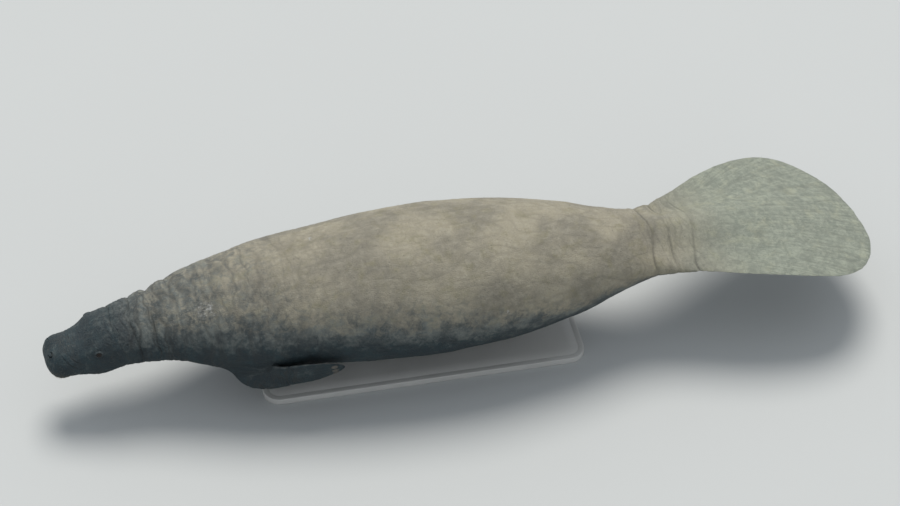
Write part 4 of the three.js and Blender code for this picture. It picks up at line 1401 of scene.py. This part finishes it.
def strands(roots, out, lie, long, thick, lean, sides, steps):
    """Tapered bent hairs as one set of points and faces, with each point's hair and share."""
    t = np.linspace(0, 1, steps + 1)
    point = roots - out * 0.8 * MM
    along = unit(out * (1 - lean)[:, None] + lie * lean[:, None])
    aside = unit(np.cross(along, out + 0.3 * lie))
    rings = []
    for share in t:
        way = unit(along + lie * 0.6 * share)
        over = np.cross(way, aside)
        turn = np.arange(sides) / sides * FULL_TURN
        girth = (thick * (1 - 0.8 * share))[:, None, None]
        circle = np.cos(turn)[:, None] * aside[:, None] + np.sin(turn)[:, None] * over[:, None]
        rings.append(point[:, None] + girth * circle)
        point = point + way * (long / steps)[:, None]
    rings = np.stack(rings, 1)
    return rings, t


def strand_mesh(name, rings, t, places):
    """One mesh of many hairs. places: where each root lies on the skin's unwrap, from 0 to 1."""
    count, length, sides = rings.shape[:3]
    quads, fans = tube_faces(length, sides)
    per = length * sides + 2
    points = [rings.reshape(count, -1, 3), rings[:, :1].mean(2), rings[:, -1:].mean(2)]
    points = np.concatenate(points, 1).reshape(-1, 3)
    shift = (np.arange(count) * per)[:, None, None]
    all_quads = (quads[None] + shift).reshape(-1, 4)
    all_fans = (fans[None] + shift).reshape(-1, 3)
    share = np.r_[np.repeat(t, sides), 0, 1]
    around = np.r_[np.tile(np.arange(sides) / sides, length), 0.5, 0.5]
    patch = 0.003 * np.stack([around, share], -1)
    index = np.concatenate([all_quads.ravel(), all_fans.ravel()])
    hair, point = np.divmod(index, per)
    corners = places[hair] * 0.996 + patch[point]
    return make_mesh(name, points, all_quads, all_fans, {"share": np.tile(share, count)}, corners)


def skin_spot(skin, at, angle):
    """The skin's own points and normals at places on the body."""
    i = np.clip(np.searchsorted(skin.at[:, 0], at), 0, len(skin.at) - 1)
    j = np.round(angle / FULL_TURN * AROUND).astype(int) % AROUND
    return skin.point[i, j], skin.normal[i, j]


def make_bristles(look, depth):
    skin = body_skin(depth)
    draw = np.random.default_rng(BRISTLE_SEED)
    at, angle, size = bristle_places()
    root, out = skin_spot(skin, at, angle)
    down = np.array([-0.35, 0, -1.0]) + draw.normal(0, 0.35, root.shape)
    lie = unit(down - (down * out).sum(-1, keepdims=True) * out)
    long = look.bristle_length * (0.35 + 0.75 * size) * draw.uniform(0.55, 1.1, len(at))
    thick = look.bristle_thick * (0.55 + 0.45 * size)
    lean = draw.uniform(0.15, 0.5, len(at))
    rings, t = strands(root, out, lie, long, thick, lean, 5, 4)
    places = np.stack([angle / FULL_TURN, at], -1)
    me = strand_mesh("bristles", rings, t, places)
    hair = hair_material(look, "bristle", look.straw, look.straw_pale)
    return make_piece("manatee_bristles", me, hair, [])


def make_body_hairs(look, depth):
    skin = body_skin(depth)
    draw = np.random.default_rng(HAIR_SEED)
    girth = np.linalg.norm(skin.point[:, ::10] - np.roll(skin.point[:, ::10], 1, 1), axis=-1).sum(1)
    step = np.gradient(skin.at[:, 0])
    share = girth * step * smooth(skin.at[:, 0], 0.03, 0.06) * (1 - smooth(skin.at[:, 0], 0.93, 0.97))
    row = draw.choice(len(share), HAIR_COUNT, p=share / share.sum())
    angle = draw.uniform(0, FULL_TURN, HAIR_COUNT)
    root, out = skin_spot(skin, skin.at[row, 0], angle)
    back = spine_direction(skin.at[row, 0]) + draw.normal(0, 0.35, root.shape)
    lie = unit(back - (back * out).sum(-1, keepdims=True) * out)
    long = look.hair_length * draw.uniform(0.5, 1.2, HAIR_COUNT)
    thick = look.hair_thick * draw.uniform(0.8, 1.2, HAIR_COUNT)
    rings, t = strands(root, out, lie, long, thick, draw.uniform(0.55, 0.85, HAIR_COUNT), 3, 3)
    me = strand_mesh("hairs", rings, t, np.stack([angle / FULL_TURN, skin.at[row, 0]], -1))
    hair = hair_material(look, "body_hair", look.straw, look.straw_dark)
    return make_piece("manatee_body_hairs", me, hair, [])


# The stand

PLATE_EDGE = 3 * MM  # radius of the plate's rounded edges
BOLT_COUNT = 4
BOLT_CIRCLE = 33 * MM
BOLT_RADIUS = 5.2 * MM
BOLT_PROUD = 2.6 * MM
# The bolt's socket: radius and height over the bolt's top, in mm
SOCKET = ((3.0, 0), (2.6, -1.6), (0.2, -1.6))
# The groove round the plate's top: how far inside the edge and how high over the top, in mm
PLATE_GROOVE = ((18, 0), (19.5, -1.2), (21.5, -1.2), (23, 0))
ROD_GROOVE = 9 * MM  # height of the turned groove above the rod's foot
PAD_THICK = 3.5 * MM
PAD_CLEAR = 0.4 * MM
PAD_SHARE = 0.95  # of the saddle's radius


def turned_rings(x, y, profile, around=96):
    """Rings of a piece turned round an upright line, from radius and height pairs."""
    turn = np.linspace(0, FULL_TURN, around, endpoint=False)
    radius, z = np.transpose(profile)[:, :, None]
    return np.stack([x + radius * np.cos(turn), y + radius * np.sin(turn), z + 0 * turn], -1)


def rounded_edge(radius, low, high, edge, steps=5):
    """A turned profile from the middle of the underside, with rounded outer edges."""
    turn = np.linspace(0, math.pi / 2, steps)
    profile = [(0.02 * radius, low), (0.6 * radius, low)]
    profile += [(radius - edge + edge * math.sin(a), low + edge - edge * math.cos(a)) for a in turn]
    profile += [(radius - edge + edge * math.cos(a), high - edge + edge * math.sin(a)) for a in turn]
    profile += [(0.6 * radius, high), (0.02 * radius, high)]
    return profile


def node_box(node):
    low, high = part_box(node)
    return np.array(low), np.array(high)


def plate_rings(low, high, corner, around=240):
    """Rings of a flat plate with round corners, a rounded edge and a shallow stepped border."""
    half = (high - low) / 2
    middle = (high + low) / 2
    turn = np.linspace(0, FULL_TURN, around, endpoint=False)
    edge = PLATE_EDGE

    def outline(inset):
        reach = half[:2] - inset
        r = max(corner - inset, 0.004)
        core = reach - r
        cx = np.sign(np.cos(turn)) * core[0]
        cy = np.sign(np.sin(turn)) * core[1]
        return np.stack([middle[0] + cx + r * np.cos(turn), middle[1] + cy + r * np.sin(turn)], -1)

    a = np.linspace(0, math.pi / 2, 5)
    profile = [(half[1] * 0.96, low[2]), (0.05, low[2])]
    profile += [(edge - edge * math.sin(v), low[2] + edge - edge * math.cos(v)) for v in a]
    profile += [(edge - edge * math.cos(v), high[2] - edge + edge * math.sin(v)) for v in a]
    profile += [(inset * MM, high[2] + rise * MM) for inset, rise in PLATE_GROOVE]
    profile += [(0.06, high[2]), (half[1] * 0.96, high[2])]
    rings = [np.column_stack([outline(i), np.full(around, z)]) for i, z in profile]
    return np.array(rings)


def belly_height(skin_piece, x, y, start):
    hit, place, _, _ = skin_piece.ray_cast(Vector((x, y, start)), Vector((0, 0, 1)))
    if not hit:
        raise RuntimeError(f"no belly above {x:.3f}, {y:.3f}")
    return place.z


def saddle_tops(skin_piece, low, high, radius):
    """The belly's height over rings of a saddle, from its rim to its middle."""
    shares = (1.0, 0.985, 0.94, 0.8, 0.6, 0.4, 0.2, 0.03)
    rings = turned_rings(*(low + high)[:2] / 2, [(radius * share, 0) for share in shares])
    heights = [belly_height(skin_piece, x, y, low[2] - 0.01) for x, y, _ in rings.reshape(-1, 3)]
    rings[..., 2] = np.reshape(heights, rings.shape[:2])
    return rings


def make_saddle(place, skin_piece, steel, felt):
    """A dished steel saddle with a felt pad that fits the belly."""
    low, high = node_box(f"stand_saddle_{place}")
    radius = (high[0] - low[0]) / 2
    tops = saddle_tops(skin_piece, low, high, radius)
    drop = np.zeros((len(tops), 1, 3))
    drop[..., 2] = PAD_THICK + PAD_CLEAR
    dish = tops - drop
    dish[0, :, 2] -= 2.0 * MM
    under = ((0.03, 0.0), (0.5, 0.0), (0.93, 0.0), (0.985, 0.0012), (1.0, 0.0035))
    profile = [(radius * share, low[2] + lift) for share, lift in under]
    rings = turned_rings(*(low + high)[:2] / 2, profile)
    me = tube_mesh("saddle", np.concatenate([rings, dish]))
    make_piece(f"display_saddle_{place}", me, steel, [f"stand_saddle_{place}"])
    pad_top = saddle_tops(skin_piece, low, high, radius * PAD_SHARE)
    pad_top[..., 2] -= PAD_CLEAR
    pad_top[0, :, 2] -= 1.0 * MM
    pad_low = pad_top[::-1].copy()
    pad_low[..., 2] -= PAD_THICK * 0.96
    pad_low[-1, :, 2] += 1.6 * MM
    me = tube_mesh("pad", np.concatenate([pad_low, pad_top]))
    make_piece(f"display_pad_{place}", me, felt, [])


def make_stand(look):
    skin_piece = bpy.data.objects["manatee_skin"]
    steel, felt = steel_material(look), felt_material(look)
    low, high = node_box("stand_base")
    me = tube_mesh("plate", plate_rings(low, high, look.plate_corner))
    make_piece("display_plate", me, paint_material(look), ["stand_base"])
    for place in ("front", "rear"):
        low, high = node_box(f"stand_foot_{place}")
        middle, radius = (low + high) / 2, (high[0] - low[0]) / 2
        me = tube_mesh("foot", turned_rings(*middle[:2], rounded_edge(radius, low[2], high[2], 1.6 * MM)))
        make_piece(f"display_foot_{place}", me, steel, [f"stand_foot_{place}"])
        bolts = []
        for k in range(BOLT_COUNT):
            turn = (k + 0.5) / BOLT_COUNT * FULL_TURN
            x, y = middle[0] + BOLT_CIRCLE * math.cos(turn), middle[1] + BOLT_CIRCLE * math.sin(turn)
            top = high[2] + BOLT_PROUD
            profile = rounded_edge(BOLT_RADIUS, high[2] - 1.0 * MM, top, 0.7 * MM, 4)[:-2]
            profile += [(wide * MM, top + rise * MM) for wide, rise in SOCKET]
            bolts.append(turned_rings(x, y, profile, 36))
        make_piece(f"display_bolts_{place}", joined_tubes("bolts", bolts), steel, [])
        low, high = node_box(f"stand_rod_{place}")
        radius = (high[0] - low[0]) / 2
        edge, dip = 0.8 * MM, 0.7 * MM
        profile = [(0.4 * MM, low[2]), (radius - edge, low[2]), (radius, low[2] + edge)]
        groove = low[2] + ROD_GROOVE
        profile += [(radius, groove), (radius - dip, groove + 0.6 * MM)]
        profile += [(radius - dip, groove + 1.6 * MM), (radius, groove + 2.2 * MM)]
        profile += [(radius, high[2] - edge), (radius - edge, high[2]), (0.4 * MM, high[2])]
        me = tube_mesh("rod", turned_rings(*((low + high) / 2)[:2], profile))
        make_piece(f"display_rod_{place}", me, steel, [f"stand_rod_{place}"])
        make_saddle(place, skin_piece, steel, felt)


def joined_tubes(name, tubes):
    """Several closed tubes of rings as one mesh."""
    points, quads, fans, start = [], [], [], 0
    for rings in tubes:
        some_quads, some_fans = tube_faces(*rings.shape[:2])
        points.append(with_ends(rings))
        quads.append(some_quads + start)
        fans.append(some_fans + start)
        start += len(points[-1])
    return make_mesh(name, np.concatenate(points), np.concatenate(quads), np.concatenate(fans))


# The stage

FLOOR_THICK = 20 * MM
FLOOR_MIDDLE = 0.5  # radius of the floor's inner ring
OVERHEAD_PLACE = (0.4, 1.9, 4.3)


def aimed(name, data, place, aim=(0, 0, 0.3)):
    """A lamp or camera that stands at a place and points at another."""
    thing = placed(name, data)
    thing.location = place
    thing.rotation_mode = "QUATERNION"
    thing.rotation_quaternion = (Vector(aim) - Vector(place)).to_track_quat("-Z", "Y")
    return thing


def make_stage(look):
    outer = look.floor_radius
    profile = ((FLOOR_MIDDLE, -FLOOR_THICK), (outer, -FLOOR_THICK), (outer, 0.0), (FLOOR_MIDDLE, 0.0))
    floor = placed("studio_floor", tube_mesh("floor", turned_rings(0, 0, profile)))
    floor.data.materials.append(floor_material(look))

    overhead = bpy.data.lights.new("overhead", "SUN")
    overhead.energy = look.overhead_strength
    overhead.angle = look.overhead_softness
    overhead.color = look.overhead[:3]
    aimed("overhead", overhead, OVERHEAD_PLACE)

    world = bpy.data.worlds.new("studio")
    world.use_nodes = True
    shade = world.node_tree.nodes["Background"]
    shade.inputs["Color"].default_value = look.air
    shade.inputs["Strength"].default_value = look.air_strength
    bpy.context.scene.world = world

    place, _, _, back = camera_axes()
    camera = bpy.data.cameras.new("camera")
    camera.sensor_width = SENSOR
    camera.lens = FOCAL_PIXELS / PHOTO_WIDE * SENSOR
    camera.clip_end = 200
    camera.dof.use_dof = False
    bpy.context.scene.camera = aimed("camera", camera, place, place - back)
    bpy.context.scene.view_settings.view_transform = "Standard"


# What a user may change


def colour_of(name, about, value):
    return bpy.props.FloatVectorProperty(
        name=name, description=about, default=(*value, 1.0), size=4, subtype="COLOR", min=0, max=1
    )


def length_of(name, about, value):
    return bpy.props.FloatProperty(
        name=name, description=about, default=value, min=0, subtype="DISTANCE", unit="LENGTH", precision=4
    )


class ManateeHide(bpy.types.PropertyGroup):
    """The hide's colours and how deep its details are."""

    depth: bpy.props.FloatProperty(
        name="Detail depth", description="How deep the wrinkles and folds are", default=1.0, min=0, max=2
    )
    # The slate and grey tones are partly painted shade: the flanks, head and underside are darkened as if
    # out of the overhead light.
    slate_and_shade: colour_of("Slate", "Flanks, head and underside", (0.028, 0.048, 0.056))
    slate_and_shade_dark: colour_of("Dark slate", "Darker patches of the flanks", (0.018, 0.03, 0.037))
    grey_and_half_shade: colour_of("Grey", "Between the flanks and the back", (0.175, 0.19, 0.178))
    grey_and_half_shade_dark: colour_of("Dark grey", "Darker patches there", (0.06, 0.074, 0.078))
    taupe: colour_of("Taupe", "The back", (0.35, 0.315, 0.235))
    taupe_dark: colour_of("Dark taupe", "Darker patches of the back", (0.235, 0.215, 0.168))
    taupe_pale: colour_of("Pale taupe", "Pale patches of the back", (0.42, 0.39, 0.31))
    algae: colour_of("Algae", "The olive film on the back", (0.235, 0.215, 0.13))
    paddle: colour_of("Paddle", "The tail paddle", (0.315, 0.34, 0.275))
    paddle_dark: colour_of("Dark paddle", "Darker patches of the paddle", (0.23, 0.255, 0.21))
    paddle_pale: colour_of("Pale paddle", "Pale patches of the paddle", (0.42, 0.43, 0.32))
    speck_pale: colour_of("Pale specks", "Pale specks all over", (0.42, 0.405, 0.35))
    speck_dark: colour_of("Dark specks", "Dark specks all over", (0.035, 0.04, 0.042))
    # Painted shade laid in the bottoms of folds, wrinkles, slits and pits.
    crease_shade: colour_of("Folds", "The bottom of folds and wrinkles", (0.045, 0.045, 0.042))
    scar: colour_of("Scars", "Pale healed patches", (0.42, 0.42, 0.41))


class ManateeEyes(bpy.types.PropertyGroup):
    """The eyes' colours."""

    iris: colour_of("Iris", "Pale spokes of the iris", (0.028, 0.016, 0.009))
    iris_dark: colour_of("Dark iris", "Dark spokes of the iris", (0.01, 0.006, 0.004))
    pupil: colour_of("Pupil", "The pupil and the ring round the iris", (0.004, 0.004, 0.004))
    white: colour_of("White", "The dusky white", (0.026, 0.02, 0.018))
    white_dark: colour_of("Dark white", "Darker patches of the white", (0.012, 0.01, 0.009))


class ManateeNails(bpy.types.PropertyGroup):
    """The nails' colours."""

    horn: colour_of("Horn", "The nails", (0.115, 0.105, 0.088))
    horn_dark: colour_of("Dark horn", "Growth lines", (0.06, 0.055, 0.047))
    horn_pale: colour_of("Pale horn", "Worn ridges", (0.2, 0.185, 0.155))
    horn_stain: colour_of("Stain", "Stains in the horn", (0.045, 0.043, 0.037))


class ManateeHair(bpy.types.PropertyGroup):
    """The bristles and the sparse hairs of the body."""

    bristle_length: length_of("Bristle length", "The longest bristles of the muzzle", 9 * MM)
    bristle_thick: length_of("Bristle thickness", "Half the thickness of a bristle", 0.42 * MM)
    hair_length: length_of("Hair length", "The sparse hairs of the body", 13 * MM)
    hair_thick: length_of("Hair thickness", "Half the thickness of a hair", 0.13 * MM)
    straw: colour_of("Straw", "The hairs' roots", (0.2, 0.16, 0.1))
    straw_pale: colour_of("Pale straw", "The bristles' tips", (0.5, 0.44, 0.32))
    straw_dark: colour_of("Dark straw", "Darker hairs", (0.1, 0.085, 0.06))


class ManateeStand(bpy.types.PropertyGroup):
    """The display stand."""

    plate_corner: length_of("Plate corner", "Radius of the plate's corners", 60 * MM)
    paint: colour_of("Paint", "The plate", (0.55, 0.54, 0.515))
    paint_shade: colour_of("Paint shade", "Dusty patches of the plate", (0.5, 0.49, 0.465))
    paint_fleck: colour_of("Paint fleck", "Dust specks", (0.36, 0.35, 0.33))
    paint_worn: colour_of("Worn paint", "Rubbed edges", (0.7, 0.69, 0.66))
    steel: colour_of("Steel", "Feet, rods and saddles", (0.56, 0.56, 0.57))
    steel_dark: colour_of("Dark steel", "Brush lines", (0.42, 0.42, 0.43))
    steel_stain: colour_of("Stained steel", "Finger marks", (0.38, 0.375, 0.36))
    felt: colour_of("Felt", "The pads", (0.06, 0.062, 0.066))
    felt_dark: colour_of("Dark felt", "Darker patches of the pads", (0.03, 0.031, 0.034))


class ManateeStage(bpy.types.PropertyGroup):
    """The floor and the light."""

    floor_radius: length_of("Floor radius", "Half the width of the floor", 40.0)
    floor: colour_of("Floor", "The floor", (0.5, 0.51, 0.505))
    air: colour_of("Air", "The light from all round", (0.88, 0.94, 1.0))
    air_strength: bpy.props.FloatProperty(
        name="Air strength", description="Light from all round", default=0.62, min=0
    )
    overhead: colour_of("Overhead colour", "The soft light overhead", (1.0, 0.975, 0.93))
    overhead_strength: bpy.props.FloatProperty(
        name="Overhead light", description="Strength of the soft light overhead", default=2.5, min=0
    )
    overhead_softness: bpy.props.FloatProperty(
        name="Softness",
        description="How wide the overhead light is",
        default=math.radians(32),
        min=0,
        max=math.pi,
        subtype="ANGLE",
        unit="ROTATION",
    )


# Operators


class MANATEE_OT_make_skin(bpy.types.Operator):
    """Makes the one skin that covers the body and both flippers"""

    bl_idname = "manatee.make_skin"
    bl_label = "Make Skin"

    def execute(self, context):
        make_skin(context.scene.manatee_hide)
        return {"FINISHED"}


class MANATEE_OT_make_eyes(bpy.types.Operator):
    """Makes both eyes"""

    bl_idname = "manatee.make_eyes"
    bl_label = "Make Eyes"

    def execute(self, context):
        material = eye_material(context.scene.manatee_eyes)
        for name, side in SIDES.items():
            make_eye(name, side, material)
        return {"FINISHED"}


class MANATEE_OT_make_nails(bpy.types.Operator):
    """Makes the three nails of each flipper"""

    bl_idname = "manatee.make_nails"
    bl_label = "Make Nails"

    def execute(self, context):
        material = nail_material(context.scene.manatee_nails)
        for name, side in SIDES.items():
            for index in range(NAIL_COUNT):
                make_nail(name, side, index, material)
        return {"FINISHED"}


class MANATEE_OT_make_bristles(bpy.types.Operator):
    """Makes the bristles of the muzzle"""

    bl_idname = "manatee.make_bristles"
    bl_label = "Make Bristles"

    def execute(self, context):
        make_bristles(context.scene.manatee_hair, context.scene.manatee_hide.depth)
        return {"FINISHED"}


class MANATEE_OT_make_body_hairs(bpy.types.Operator):
    """Makes the sparse fine hairs of the body"""

    bl_idname = "manatee.make_body_hairs"
    bl_label = "Make Body Hairs"

    def execute(self, context):
        make_body_hairs(context.scene.manatee_hair, context.scene.manatee_hide.depth)
        return {"FINISHED"}


class MANATEE_OT_make_stand(bpy.types.Operator):
    """Makes the display stand: plate, feet, bolts, rods, saddles and pads"""

    bl_idname = "manatee.make_stand"
    bl_label = "Make Stand"

    def execute(self, context):
        make_stand(context.scene.manatee_stand)
        return {"FINISHED"}


class MANATEE_OT_make_stage(bpy.types.Operator):
    """Makes the floor, the lights and the camera"""

    bl_idname = "manatee.make_stage"
    bl_label = "Make Stage"

    def execute(self, context):
        make_stage(context.scene.manatee_stage)
        return {"FINISHED"}


class MANATEE_PT_sidebar(bpy.types.Panel):
    """Lists the manatee's pieces and settings"""

    bl_idname = "MANATEE_PT_sidebar"
    bl_label = "Manatee"
    bl_space_type = "VIEW_3D"
    bl_region_type = "UI"
    bl_category = "Manatee"

    def draw(self, context):
        for operator in OPERATORS:
            self.layout.operator(operator.bl_idname)
        for key in GROUPS:
            box = self.layout.box()
            group = getattr(context.scene, key)
            for field in group.__annotations__:
                box.prop(group, field)


GROUPS = {
    "manatee_hide": ManateeHide,
    "manatee_eyes": ManateeEyes,
    "manatee_nails": ManateeNails,
    "manatee_hair": ManateeHair,
    "manatee_stand": ManateeStand,
    "manatee_stage": ManateeStage,
}
OPERATORS = (
    MANATEE_OT_make_skin,
    MANATEE_OT_make_eyes,
    MANATEE_OT_make_nails,
    MANATEE_OT_make_bristles,
    MANATEE_OT_make_body_hairs,
    MANATEE_OT_make_stand,
    MANATEE_OT_make_stage,
)


def register():
    for group in (*GROUPS.values(), *OPERATORS, MANATEE_PT_sidebar):
        bpy.utils.register_class(group)
    for key, group in GROUPS.items():
        setattr(bpy.types.Scene, key, bpy.props.PointerProperty(type=group))


def unregister():
    for key in GROUPS:
        delattr(bpy.types.Scene, key)
    for group in reversed((*GROUPS.values(), *OPERATORS, MANATEE_PT_sidebar)):
        bpy.utils.unregister_class(group)


def main():
    register()
    bpy.ops.manatee.make_skin()
    bpy.ops.manatee.make_eyes()
    bpy.ops.manatee.make_nails()
    bpy.ops.manatee.make_bristles()
    bpy.ops.manatee.make_body_hairs()
    bpy.ops.manatee.make_stand()
    bpy.ops.manatee.make_stage()


if __name__ == "__main__":
    main()
